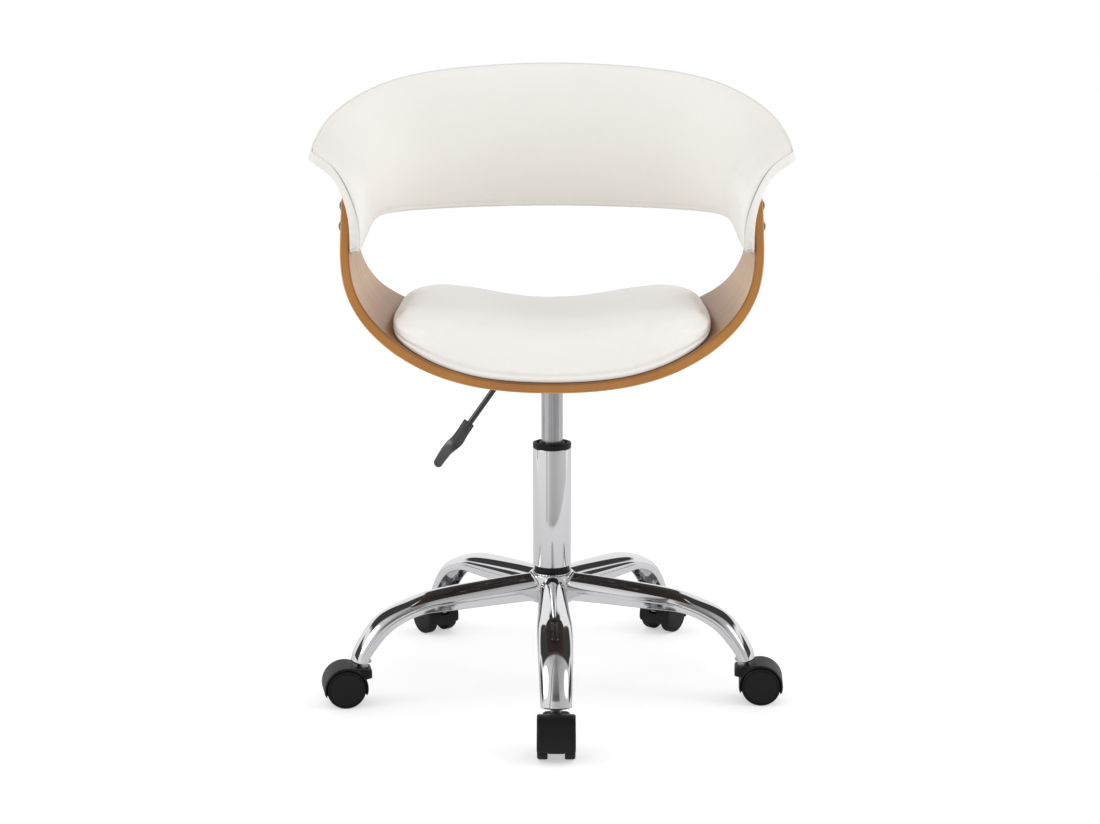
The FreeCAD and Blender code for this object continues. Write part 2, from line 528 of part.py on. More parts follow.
def cushion_wire(y, fill, inset):
    hx = CUSH_HALF_X - inset
    n = 14
    low = []
    for i in range(-n, n + 1):
        x = hx * i / n
        low.append(V(x, y, base_top(abs(x))))
    top = []
    for i in range(n, -n - 1, -1):
        u = i / n
        x = hx * u
        lz = base_top(abs(x))
        edge = (1 - abs(u) ** 7) ** 0.5 if abs(u) < 1 else 0.0
        h = (top_z(x) - lz) * fill * (0.25 + 0.75 * edge)
        top.append(V(x, y, lz + max(h, 3.0)))
    return Part.Wire([spline(low), Part.LineSegment(low[-1], top[0]).toShape(), spline(top),
                      Part.LineSegment(top[-1], low[0]).toShape()])


secs = []
for y, fill, inset in ((CUSH_Y0, 0.50, 103.0), (-195, 0.70, 76.0), (-188, 0.84, 51.0), (-178, 0.94, 31.0), (-164, 1.0, 16.0),
                       (-140, 1.02, 7.0), (-100, 1.02, 2.0), (-50, 1.0, 0.0), (20, 1.0, 0.0), (80, 1.0, 1.0), (120, 1.0, 6.0),
                       (146, 0.98, 14.0), (164, 0.92, 26.0), (176, 0.82, 42.0), (184, 0.66, 62.0), (CUSH_Y1, 0.45, 92.0)):
    secs.append(cushion_wire(y, fill, inset))
cushion = Part.makeLoft(secs, True, False)
export(cushion, "seat_cushion")

base_in = [V(p.x, 0, p.z) for p in offset_line(prof_in, -0.15)]
panel_top = [V(p.x, 0, p.z) for p in offset_line(prof_in, -CUSH_BASE_T)]
keep = [i for i, p in enumerate(prof_in) if abs(p.x) < 203]
panel = band_face([base_in[i] for i in keep], [panel_top[i] for i in keep], -230.0).extrude(V(0, 460, 0))
# plan outline of the panel
pp = [(-186, -100), (-172, -150), (-150, -176), (-120, -190), (0, -194), (120, -190), (150, -176), (172, -150), (186, -100), (190, 0),
      (187, 90), (176, 145), (150, 172), (110, 182), (0, 184), (-110, 182), (-150, 172), (-176, 145), (-187, 90), (-190, 0)]
curve = Part.BSplineCurve()
curve.interpolate(Points=[V(x, y, 420) for x, y in pp], PeriodicFlag=True)
panel = panel.common(Part.Face(Part.Wire([curve.toShape()])).extrude(V(0, 0, 120)))
panel = max(panel.Solids, key=lambda s: s.Volume)
export(panel, "cushion_base")

# ----------------------------------------------------------------- back band
lx, ux_ = odd(B_S, B_LX), odd(B_S, B_UX)
ly, uy_ = even(B_S, B_LY), even(B_S, B_UY)
lz_, uz_ = even(B_S, B_LZ), even(B_S, B_UZ)
t0_, pw_ = even(B_S, B_T0), even(B_S, B_P)
CORNER_R, CORNER_T = 0.115, 0.42


def smax(t):
    """Front end of the arm: rounded towards the top corner."""
    k = max(0.0, (t - CORNER_T) / (1 - CORNER_T)) * 0.965
    return 1.0 - CORNER_R * (1 - math.sqrt(1 - k * k))


def mid_point(s, t):
    a = max(0.0, t0_(s))
    g = max(0.0, (t - a) / (1 - a)) ** pw_(s)
    x0, y0, z0 = lx(s), ly(s), lz_(s)
    x1, y1, z1 = ux_(s), uy_(s), uz_(s)
    hy = t ** 2.0 if abs(s) > 0.6 else g + (t ** 2.0 - g) * max(0.0, (abs(s) - 0.4) / 0.2)
    return V(x0 + (x1 - x0) * g, y0 + (y1 - y0) * hy, z0 + (z1 - z0) * t)


def mid_normal(s, t):
    e = 0.004
    sa, sb = max(-1.0, s - e), min(1.0, s + e)
    ta, tb = max(0.0, t - e), min(1.0, t + e)
    ds = mid_point(sb, t).sub(mid_point(sa, t))
    dt = mid_point(s, tb).sub(mid_point(s, ta))
    n = ds.cross(dt)
    n.normalize()
    return n


# sense of the normal: away from the sitter
NS = 1.0 if mid_normal(0.0, 0.5).y > 0 else -1.0


def band_grid(sig0, sig1, t_0, t_1, ns, nt, off):
    g = []
    for i in range(ns + 1):
        row = []
        for j in range(nt + 1):
            t = t_0 + (t_1 - t_0) * j / nt
            sg = sig0 + (sig1 - sig0) * i / ns
            s = sg * smax(t)
            row.append(mid_point(s, t).add(mid_normal(s, t).multiply(NS * off(sg, t))))
        g.append(row)
    return g


def crown(sg, t):
    """Padding depth in front of the core at (sg, t)."""
    c = PAD_CROWN + (8.0 - PAD_CROWN) * min(1.0, abs(sg) / 0.6)
    return c * (1 - abs(2 * t - 1) ** 2.6) * (1 - abs(sg) ** 10)


IN_S, IN_T = 0.012, 0.022
NSG, NTG = 96, 24
core = grid_solid(band_grid(-1 + IN_S, 1 - IN_S, IN_T, 1 - IN_T, NSG, NTG, lambda a, b: -CORE_HALF),
                  band_grid(-1 + IN_S, 1 - IN_S, IN_T, 1 - IN_T, NSG, NTG, lambda a, b: CORE_HALF))
pad = grid_solid(band_grid(-1, 1, 0, 1, NSG, NTG, lambda a, b: -PAD_EDGE - crown(a, b)),
                 band_grid(-1, 1, 0, 1, NSG, NTG, lambda a, b: -PLY_HALF - 0.18))
cover = grid_solid(band_grid(-1, 1, 0, 1, NSG, NTG, lambda a, b: PLY_HALF + 0.18),
                   band_grid(-1, 1, 0, 1, NSG, NTG, lambda a, b: PAD_EDGE))
STRIP = PLY_HALF - 0.6


def strip(sa, sb, ta, tb, ns, nt):
    return grid_solid(band_grid(sa, sb, ta, tb, ns, nt, lambda a, b: -STRIP), band_grid(sa, sb, ta, tb, ns, nt, lambda a, b: STRIP))


strips = [strip(-1, 1, 0, IN_T - 0.003, NSG, 2), strip(-1, 1, 1 - IN_T + 0.003, 1, NSG, 2),
          strip(-1, -1 + IN_S - 0.001, IN_T, 1 - IN_T, 2, NTG), strip(1 - IN_S + 0.001, 1, IN_T, 1 - IN_T, 2, NTG)]

inserts, screws = [], []
for sx in (-1, 1):
    for y, z in ARM_SCREWS:
        d = V(-sx, 0, 0)
        core = core.cut(Part.makeCylinder(4.55, 20, V(sx * 250.0, y, z), d))
        cover = cover.cut(Part.makeCylinder(3.3, 20, V(sx * 255.0, y, z), d))
        ins = Part.makeCylinder(4.5, 7.6, V(sx * 243.9, y, z), d).cut(Part.makeCylinder(3.04, 40, V(sx * 260, y, z), d))
        inserts.append(ins)
        face = 247.4 + SHELL_T + 0.08
        shaft = Part.makeCylinder(3.0, face - 237.5, V(sx * face, y, z), d)
        head = Part.makeSphere(9.2, V(sx * (face + 4.2 - 9.2), y, z)).common(
            Part.makeCylinder(7.0, 5.0, V(sx * face, y, z), V(sx, 0, 0)))
        head = head.cut(Part.Face(Part.makePolygon([V(sx * (face + 2.2), y + 2.4 * math.cos(math.radians(a)), z + 2.4 * math.sin(math.radians(a)))
                                                    for a in range(0, 361, 60)])).extrude(V(sx * 5, 0, 0)))
        screws.append(shaft.fuse(head))
export(core, "back_plywood")
export(pad, "back_front_pad")
export(cover, "back_rear_cover")
export(Part.makeCompound(strips), "back_edge_strip")
export(Part.makeCompound(inserts), "arm_inserts")
export(Part.makeCompound(screws), "arm_screws")
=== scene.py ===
import math

import bmesh
import bpy
import numpy as np
from mathutils import Matrix, Vector, kdtree, noise


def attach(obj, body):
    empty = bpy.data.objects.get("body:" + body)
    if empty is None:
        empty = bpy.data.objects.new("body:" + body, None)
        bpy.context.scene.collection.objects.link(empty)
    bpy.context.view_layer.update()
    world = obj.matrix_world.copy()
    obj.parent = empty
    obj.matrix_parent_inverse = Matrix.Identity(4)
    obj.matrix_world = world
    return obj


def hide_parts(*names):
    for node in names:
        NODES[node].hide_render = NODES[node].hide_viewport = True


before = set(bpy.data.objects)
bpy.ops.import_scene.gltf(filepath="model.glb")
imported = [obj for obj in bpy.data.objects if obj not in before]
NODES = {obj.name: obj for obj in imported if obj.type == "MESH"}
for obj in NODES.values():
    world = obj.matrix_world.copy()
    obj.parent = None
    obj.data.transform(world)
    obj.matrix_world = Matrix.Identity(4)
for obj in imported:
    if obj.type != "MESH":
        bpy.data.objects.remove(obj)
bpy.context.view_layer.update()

MM = 0.001
scene = bpy.context.scene


# ----------------------------------------------------------------- numbers shared with the frame
WHEEL_R, WHEEL_W, WEB_HALF = 25.0, 12.6, 9.8
HOOD_R, HOOD_IN_R, HOOD_HALF, TRAIL = 28.2, 25.9, 23.4, 23.0
STEM_CIRCLE, BASE_TURN = 257.0, 1.2
HUB_R, HUB_Z0, HUB_Z1 = 29.0, 114.0, 151.0
LEG_T = 2.2
LEG_TOP = [(24, 152.0), (60, 150.2), (90, 148.0), (120, 145.6), (148, 142.8), (170, 139.4),
           (192, 133.2), (212, 126.0), (228, 118.2), (243, 107.0), (255, 92.5), (264, 78.0), (269.5, 66.0), (272.0, 56.5)]
LEG_BOT = [(24, 119.0), (60, 118.6), (90, 118.2), (120, 117.6), (148, 117.2), (170, 117.0),
           (188, 114.2), (204, 108.6), (218, 101.2), (230.5, 91.0), (240.5, 79.5), (248.0, 69.5), (252.5, 62.0), (255.0, 56.5)]
LEG_HALF = [17.5, 18.5, 19.6, 20.6, 21.4, 21.8, 21.8, 21.6, 21.2, 20.6, 20.0, 19.4, 19.0, 18.8]
SHELL_T = 11.6
SHELL_IN = [(0, 438.0), (30, 438.6), (60, 440.9), (93, 446.0), (120, 453.0), (148, 463.2), (168, 472.8),
            (186, 483.2), (202, 494.6), (215, 505.6), (226, 517.8), (235, 531.6), (241, 545.0),
            (244.6, 559.0), (246.6, 574.0), (247.4, 590.0), (247.4, 606.0), (247.4, 630.0), (247.4, 662.0)]
SHELL_FRONT = [(-205, 420), (-204.6, 432), (-202.5, 444), (-195, 459), (-184, 474), (-170, 488.5), (-155, 504),
               (-141, 522), (-129, 541), (-118, 561), (-109, 581), (-100, 600), (-93.5, 616), (-87, 629), (-79, 640), (-70, 647), (-60, 649.2)]
SHELL_REAR = [(-50, 647.6), (-38, 640), (-27, 629), (-14, 612), (2, 594), (22, 577), (47, 559.5), (76, 540.5),
              (104, 522.5), (132, 507.5), (158, 495), (181, 481), (196, 465), (203.5, 447), (205, 420)]
B_S = [0.0, 0.12, 0.24, 0.36, 0.47, 0.57, 0.67, 0.76, 0.84, 0.92, 0.96, 1.0]
B_LX = [0, 66, 128, 187, 226, 238.5, 240.1, 240.1, 240.1, 240.1, 240.1, 240.1]
B_LY = [213, 208.5, 195, 170, 127.5, 77, 27, -14, -49, -81, -95.5, -109]
B_LZ = [614.5, 614, 613.2, 612, 610.5, 606.5, 600, 595.5, 591.5, 587.5, 585.5, 583.5]
B_UX = [0, 84, 161, 226, 270, 291.5, 298.5, 300, 299.5, 298, 296.7, 295]
B_UY = [243, 237, 217, 180, 133, 84, 36, 0, -28, -52, -63, -73]
B_UZ = [804.0, 801.0, 793.5, 778.5, 755.5, 734.5, 718.5, 709.0, 702.0, 695.5, 692.6, 689.5]
B_T0 = [0, 0, 0, 0, 0.03, 0.12, 0.25, 0.41, 0.51, 0.555, 0.46, 0.05]
B_P = [1.2, 1.2, 1.25, 1.4, 1.6, 1.8, 1.95, 2.0, 2.05, 2.1, 2.3, 3.0]
PAD_EDGE, PLY_HALF, PAD_CROWN = 7.0, 4.0, 12.0
CORNER_R, CORNER_T = 0.115, 0.42
CUSH_HALF_X, CUSH_BASE_T = 197.0, 4.0
PIVOT_X, PIVOT_Z = -34.0, 422.0
LEVER_R, LEVER_ANGLE = 3.75, math.radians(54.7)
ARM_SCREWS = [(-74.0, 612.0), (-60.0, 636.0)]


# ----------------------------------------------------------------- helpers
def cubic(xs, ys):
    """Natural cubic spline through (xs, ys), for arrays."""
    xs, ys = np.array(xs, float), np.array(ys, float)
    n = len(xs)
    h = np.diff(xs)
    A = np.eye(n)
    d = np.zeros(n)
    for i in range(1, n - 1):
        A[i, i - 1], A[i, i], A[i, i + 1] = h[i - 1], 2 * (h[i - 1] + h[i]), h[i]
        d[i] = 6 * ((ys[i + 1] - ys[i]) / h[i] - (ys[i] - ys[i - 1]) / h[i - 1])
    m = np.linalg.solve(A, d)

    def f(x):
        x = np.asarray(x, float)
        k = np.clip(np.searchsorted(xs, x, side="left") - 1, 0, n - 2)
        t, hk = x - xs[k], h[k]
        return (ys[k] + t * ((ys[k + 1] - ys[k]) / hk - hk * (2 * m[k] + m[k + 1]) / 6)
                + t * t * m[k] / 2 + t ** 3 * (m[k + 1] - m[k]) / (6 * hk))
    return f


def even(xs, ys):
    return cubic([-x for x in xs[:0:-1]] + list(xs), list(ys[:0:-1]) + list(ys))


def odd(xs, ys):
    return cubic([-x for x in xs[:0:-1]] + list(xs), [-y for y in ys[:0:-1]] + list(ys))


def unit(v):
    return v / np.maximum(np.linalg.norm(v, axis=-1, keepdims=True), 1e-12)


def grid_faces(nu, nv, base=0, wrap_u=False, wrap_v=False, flip=False):
    out = []
    for i in range(nu if wrap_u else nu - 1):
        for j in range(nv if wrap_v else nv - 1):
            a = base + i * nv + j
            b = base + ((i + 1) % nu) * nv + j
            c = base + ((i + 1) % nu) * nv + (j + 1) % nv
            d = base + i * nv + (j + 1) % nv
            out.append((a, d, c, b) if flip else (a, b, c, d))
    return out


def make(name, verts_mm, faces, mats, body=None, poly_mats=None, attrs=None, smooth=True, clean=True, subsurf=0):
    """A mesh object in metres from points in millimetres."""
    me = bpy.data.meshes.new(name)
    me.from_pydata([tuple(float(c) * MM for c in v) for v in verts_mm], [], [tuple(f) for f in faces])
    if attrs:
        for key, data in attrs.items():
            data = np.asarray(data, np.float32)
            kind = "FLOAT" if data.ndim == 1 else "FLOAT_VECTOR"
            a = me.attributes.new(key, kind, "POINT")
            a.data.foreach_set("value" if data.ndim == 1 else "vector", data.ravel())
    mats = mats if isinstance(mats, (list, tuple)) else [mats]
    for m in mats:
        me.materials.append(m)
    if poly_mats is not None:
        me.polygons.foreach_set("material_index", np.asarray(poly_mats, np.int32))
    if clean:
        bm = bmesh.new()
        bm.from_mesh(me)
        bmesh.ops.remove_doubles(bm, verts=bm.verts, dist=1e-6)
        bmesh.ops.dissolve_degenerate(bm, dist=1e-7, edges=bm.edges)
        bmesh.ops.recalc_face_normals(bm, faces=bm.faces)
        bm.to_mesh(me)
        bm.free()
    me.polygons.foreach_set("use_smooth", np.full(len(me.polygons), smooth))
    me.update()
    ob = bpy.data.objects.new(name, me)
    scene.collection.objects.link(ob)
    if subsurf:
        mod = ob.modifiers.new("subsurf", "SUBSURF")
        mod.levels = mod.render_levels = subsurf
    if body:
        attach(ob, body)
    return ob


def fillet(poly, r, seg=4):
    """Rounds the corners of a closed 2D polygon; r is one radius or one for each corner."""
    n = len(poly)
    rs = [r] * n if np.isscalar(r) else list(r)
    out = []
    for i in range(n):
        p0, p, p1 = (np.array(poly[k % n], float) for k in (i - 1, i, i + 1))
        a, b = p0 - p, p1 - p
        la, lb = np.linalg.norm(a), np.linalg.norm(b)
        if rs[i] <= 0 or la < 1e-6 or lb < 1e-6:
            out.append(tuple(p))
            continue
        a, b = a / la, b / lb
        ang = math.acos(max(-1.0, min(1.0, float(a @ b))))
        if abs(math.pi - ang) < 0.05:
            out.append(tuple(p))
            continue
        t = min(rs[i] / math.tan(ang / 2), la * 0.45, lb * 0.45)
        rr = t * math.tan(ang / 2)
        bis = unit((a + b)[None])[0]
        c = p + bis * (rr / math.sin(ang / 2))
        s, e = p + a * t, p + b * t
        a0, a1 = math.atan2(*(s - c)[::-1]), math.atan2(*(e - c)[::-1])
        d = (a1 - a0 + math.pi) % (2 * math.pi) - math.pi
        for k in range(seg + 1):
            th = a0 + d * k / seg
            out.append((c[0] + rr * math.cos(th), c[1] + rr * math.sin(th)))
    return out


def lathe(name, outline, mats, body, seg=96, r=0.5, origin=(0, 0, 0), axis="Z", **kw):
    """Closed (radius, height) outline turned about an axis through origin."""
    pts = fillet(outline, r) if r else outline
    n = len(pts)
    verts = []
    for k in range(seg):
        th = 2 * math.pi * k / seg
        c, s = math.cos(th), math.sin(th)
        for rad, h in pts:
            rad = max(rad, 0.0)
            if axis == "Z":
                verts.append((origin[0] + rad * c, origin[1] + rad * s, origin[2] + h))
            else:
                verts.append((origin[0] + rad * c, origin[1] + h, origin[2] + rad * s))
    return make(name, verts, grid_faces(seg, n, wrap_u=True, wrap_v=True), mats, body, **kw)


def tube(name, path, radius, mats, body, seg=24, closed=False, **kw):
    """A round bar along points, with flat closed ends."""
    P = np.array(path, float)
    n = len(P)
    T = unit(np.roll(P, -1, 0) - np.roll(P, 1, 0)) if closed else unit(np.gradient(P, axis=0))
    ref = np.array([0.0, 0.0, 1.0]) if abs(T[0][2]) < 0.9 else np.array([1.0, 0.0, 0.0])
    rad = np.full(n, radius) if np.isscalar(radius) else np.array(radius, float)
    U = unit(np.cross(T[0], ref)[None])[0]
    verts = []
    for i in range(n):
        U = U - T[i] * (U @ T[i])
        U = U / np.linalg.norm(U)
        W = np.cross(T[i], U)
        for k in range(seg):
            a = 2 * math.pi * k / seg
            verts.append(P[i] + rad[i] * (math.cos(a) * U + math.sin(a) * W))
    faces = grid_faces(n, seg, wrap_v=True, wrap_u=closed)
    if not closed:
        faces += [tuple(range(seg))[::-1], tuple((n - 1) * seg + k for k in range(seg))]
    return make(name, verts, faces, mats, body, **kw)


# ----------------------------------------------------------------- materials
def new_mat(name):
    m = bpy.data.materials.new(name)
    m.use_nodes = True
    nt = m.node_tree
    nt.nodes.clear()
    out = nt.nodes.new("ShaderNodeOutputMaterial")
    b = nt.nodes.new("ShaderNodeBsdfPrincipled")
    nt.links.new(b.outputs[0], out.inputs[0])
    return m, nt, b


def nd(nt, kind, inputs=None, **props):
    x = nt.nodes.new(kind)
    for k, v in props.items():
        setattr(x, k, v)
    for k, v in (inputs or {}).items():
        s = x.inputs[k]
        if isinstance(v, bpy.types.NodeSocket):
            nt.links.new(v, s)
        else:
            s.default_value = v
    return x


def coords(nt, scale=(1, 1, 1), attribute=None):
    if attribute:
        src = nd(nt, "ShaderNodeAttribute", attribute_name=attribute).outputs["Vector"]
    else:
        src = nd(nt, "ShaderNodeTexCoord").outputs["Object"]
    return nd(nt, "ShaderNodeMapping", {"Vector": src, "Scale": scale}).outputs[0]


def ramp(nt, fac, stops, interp="LINEAR"):
    r = nd(nt, "ShaderNodeValToRGB", {"Fac": fac})
    r.color_ramp.interpolation = interp
    els = r.color_ramp.elements
    while len(els) > 1:
        els.remove(els[-1])
    for i, (p, c) in enumerate(stops):
        e = els[0] if i == 0 else els.new(p)
        e.position = p
        c = (c, c, c) if np.isscalar(c) else c
        e.color = (c[0], c[1], c[2], 1)
    return r.outputs[0]


def mixc(nt, fac, a, b, blend="MIX"):
    m = nd(nt, "ShaderNodeMix", data_type="RGBA", blend_type=blend)
    for sock, v in ((m.inputs[0], fac), (m.inputs[6], a), (m.inputs[7], b)):
        if isinstance(v, bpy.types.NodeSocket):
            nt.links.new(v, sock)
        else:
            sock.default_value = v if np.isscalar(v) else (*v, 1)
    return m.outputs[2]


def mth(nt, op, a, b=0.0, c=None, clamp=False):
    m = nd(nt, "ShaderNodeMath", operation=op, use_clamp=clamp)
    for i, v in enumerate((a, b) if c is None else (a, b, c)):
        if isinstance(v, bpy.types.NodeSocket):
            nt.links.new(v, m.inputs[i])
        else:
            m.inputs[i].default_value = v
    return m.outputs[0]


def tex_noise(nt, vec, scale, detail=4.0, rough=0.55, distortion=0.0):
    return nd(nt, "ShaderNodeTexNoise", {"Vector": vec, "Scale": scale, "Detail": detail, "Roughness": rough,
                                         "Distortion": distortion}).outputs["Fac"]


def bump(nt, height, distance, strength=1.0, normal=None):
    b = nd(nt, "ShaderNodeBump", {"Height": height, "Distance": distance, "Strength": strength})
    if normal is not None:
        nt.links.new(normal, b.inputs["Normal"])
    return b.outputs[0]


def put(nt, bsdf, **kw):
    for k, v in kw.items():
        s = bsdf.inputs[k.replace("_", " ")]
        if isinstance(v, bpy.types.NodeSocket):
            nt.links.new(v, s)
        else:
            s.default_value = v if np.isscalar(v) or len(v) == 4 else (*v, 1)


def leather(name, base=(0.835, 0.815, 0.775), grain=760.0):
    m, nt, b = new_mat(name)
    v = coords(nt)
    warp = nd(nt, "ShaderNodeTexNoise", {"Vector": v, "Scale": 420.0, "Detail": 2.0}).outputs["Color"]
    off = nd(nt, "ShaderNodeVectorMath", {0: warp, 1: (0.5, 0.5, 0.5)}, operation="SUBTRACT").outputs[0]
    off = nd(nt, "ShaderNodeVectorMath", {0: off, "Scale": 0.0011}, operation="SCALE").outputs[0]
    vv = nd(nt, "ShaderNodeVectorMath", {0: v, 1: off}, operation="ADD").outputs[0]
    cell = nd(nt, "ShaderNodeTexVoronoi", {"Vector": vv, "Scale": grain}, feature="DISTANCE_TO_EDGE").outputs["Distance"]
    pebble = ramp(nt, cell, [(0.0, 0.0), (0.10, 0.55), (0.32, 1.0)], "EASE")
    fine = tex_noise(nt, v, 2600.0, 3.0)
    big = tex_noise(nt, v, 9.0, 3.0, 0.5)
    mid = tex_noise(nt, v, 60.0, 4.0, 0.5)
    tone = mixc(nt, mth(nt, "MULTIPLY", big, 1.0), tuple(c * 0.975 for c in base), tuple(min(c * 1.02, 0.95) for c in base))
    tone = mixc(nt, mth(nt, "MULTIPLY", mth(nt, "SUBTRACT", 1.0, pebble), 0.16), tone, tuple(c * 0.72 for c in base))
    # painted shade: the mesh attribute 'crease' darkens the leather towards near black in seam grooves and folds, where
    # shade falls
    crease = nd(nt, "ShaderNodeAttribute", attribute_name="crease").outputs["Fac"]
    tone = mixc(nt, mth(nt, "MULTIPLY", crease, 1.0, clamp=True), tone, (0.085, 0.072, 0.062))
    h = mth(nt, "ADD", mth(nt, "MULTIPLY", pebble, 0.75), mth(nt, "MULTIPLY", fine, 0.25))
    n1 = bump(nt, mid, 0.0012, 0.16)
    n2 = bump(nt, h, 0.00011, 0.85, n1)
    rough = mth(nt, "ADD", mth(nt, "MULTIPLY", mid, 0.14), 0.36)
    put(nt, b, Base_Color=tone, Roughness=rough, Normal=n2, Specular_IOR_Level=0.42, Sheen_Weight=0.06, Sheen_Roughness=0.4)
    return m


def plain(name, base, rough, var=0.06, bump_scale=1800.0, bump_dist=0.00003, spec=0.5, metal=0.0, tone=0.12, streak=None):
    """Moulded plastic, rubber, coated or bare metal: fine texture, slight tone and gloss variation."""
    m, nt, b = new_mat(name)
    v = coords(nt)
    vs = coords(nt, streak) if streak else v
    big = tex_noise(nt, v, 35.0, 4.0)
    fine = tex_noise(nt, vs, bump_scale, 3.0, 0.6)
    c0, c1 = tuple(c * (1 - tone) for c in base), tuple(min(c * (1 + tone), 1.0) for c in base)
    col = mixc(nt, mth(nt, "ADD", mth(nt, "MULTIPLY", big, 0.5), mth(nt, "MULTIPLY", fine, 0.5)), c0, c1)
    r = mth(nt, "ADD", mth(nt, "MULTIPLY", mth(nt, "SUBTRACT", big, 0.5), 2 * var), rough, clamp=True)
    put(nt, b, Base_Color=col, Roughness=r, Metallic=metal, Specular_IOR_Level=spec, Normal=bump(nt, fine, bump_dist, 0.6))
    return m


def chrome(name, base=(0.79, 0.79, 0.80), rough=0.035):
    m, nt, b = new_mat(name)
    v = coords(nt)
    smear = tex_noise(nt, v, 24.0, 5.0, 0.6)
    fine = tex_noise(nt, v, 900.0, 2.0)
    scratch = tex_noise(nt, coords(nt, (60, 60, 2600)), 1.0, 2.0)
    r = mth(nt, "ADD", mth(nt, "MULTIPLY", smear, 0.045), rough)
    h = mth(nt, "ADD", mth(nt, "MULTIPLY", fine, 0.5), mth(nt, "MULTIPLY", scratch, 0.5))
    col = mixc(nt, smear, tuple(c * 0.97 for c in base), base)
    put(nt, b, Base_Color=col, Metallic=1.0, Roughness=r, Normal=bump(nt, h, 0.000002, 0.5))
    return m


def satin_steel(name):
    m, nt, b = new_mat(name)
    v = coords(nt)
    streaks = tex_noise(nt, coords(nt, (330.0, 330.0, 2.2)), 1.0, 5.0, 0.6)
    rings = tex_noise(nt, coords(nt, (8.0, 8.0, 2400.0)), 1.0, 2.0)
    col = ramp(nt, streaks, [(0.30, (0.33, 0.33, 0.335)), (0.50, (0.52, 0.52, 0.53)), (0.68, (0.66, 0.66, 0.67))])
    r = mth(nt, "ADD", mth(nt, "MULTIPLY", streaks, 0.16), 0.17)
    put(nt, b, Base_Color=col, Metallic=1.0, Roughness=r, Normal=bump(nt, rings, 0.000006, 0.5))
    return m


def veneer(name, dark, mid, light, rough=0.27, coat=0.5, spec=0.5, low=None):
    """Lacquered face veneer; the attribute 'grain' holds (along the grain, across it, depth) in metres."""
    m, nt, b = new_mat(name)
    g = coords(nt, (1, 1, 1), "grain")
    wander = nd(nt, "ShaderNodeTexNoise", {"Vector": coords(nt, (2.2, 9.0, 1.0), "grain"), "Scale": 1.0, "Detail": 3.0}).outputs["Fac"]
    sep = nd(nt, "ShaderNodeSeparateXYZ", {0: g})
    across = mth(nt, "ADD", mth(nt, "MULTIPLY", sep.outputs[1], 1.0), mth(nt, "MULTIPLY", mth(nt, "SUBTRACT", wander, 0.5), 0.085))
    rings = mth(nt, "SINE", mth(nt, "MULTIPLY", across, 410.0))
    rings = mth(nt, "ADD", mth(nt, "MULTIPLY", rings, 0.5), 0.5)
    fibre = tex_noise(nt, coords(nt, (14.0, 900.0, 1.0), "grain"), 1.0, 6.0, 0.65)
    flame = tex_noise(nt, coords(nt, (3.0, 38.0, 1.0), "grain"), 1.0, 5.0, 0.6, 0.6)
    pores = tex_noise(nt, coords(nt, (55.0, 2600.0, 1.0), "grain"), 1.0, 2.0, 0.5)
    pore = ramp(nt, pores, [(0.56, 0.0), (0.70, 1.0)])
    f = mth(nt, "ADD", mth(nt, "ADD", mth(nt, "MULTIPLY", rings, 0.09), mth(nt, "MULTIPLY", fibre, 0.46)), mth(nt, "MULTIPLY", flame, 0.50))
    col = ramp(nt, f, [(0.30, dark), (0.52, mid), (0.78, light)])
    col = mixc(nt, mth(nt, "MULTIPLY", pore, 0.55), col, tuple(c * 0.45 for c in dark))
    # painted shade: with low given, the veneer is darkened over the middle of the shell, within about 0.2 m of the
    # centre along the grain, round the cushion
    if low:
        lower = ramp(nt, mth(nt, "ABSOLUTE", sep.outputs[0]), [(0.19, 1.0), (0.235, 0.62), (0.27, 0.0)])
        col = mixc(nt, lower, col, mixc(nt, 1.0, col, low, "MULTIPLY"))
    h = mth(nt, "SUBTRACT", mth(nt, "MULTIPLY", fibre, 0.4), pore)
    rr = mth(nt, "ADD", mth(nt, "MULTIPLY", fibre, 0.14), rough)
    put(nt, b, Base_Color=col, Roughness=rr, Normal=bump(nt, h, 0.00004, 0.5), Coat_Weight=coat, Coat_Roughness=0.2,
        Specular_IOR_Level=spec)
    return m


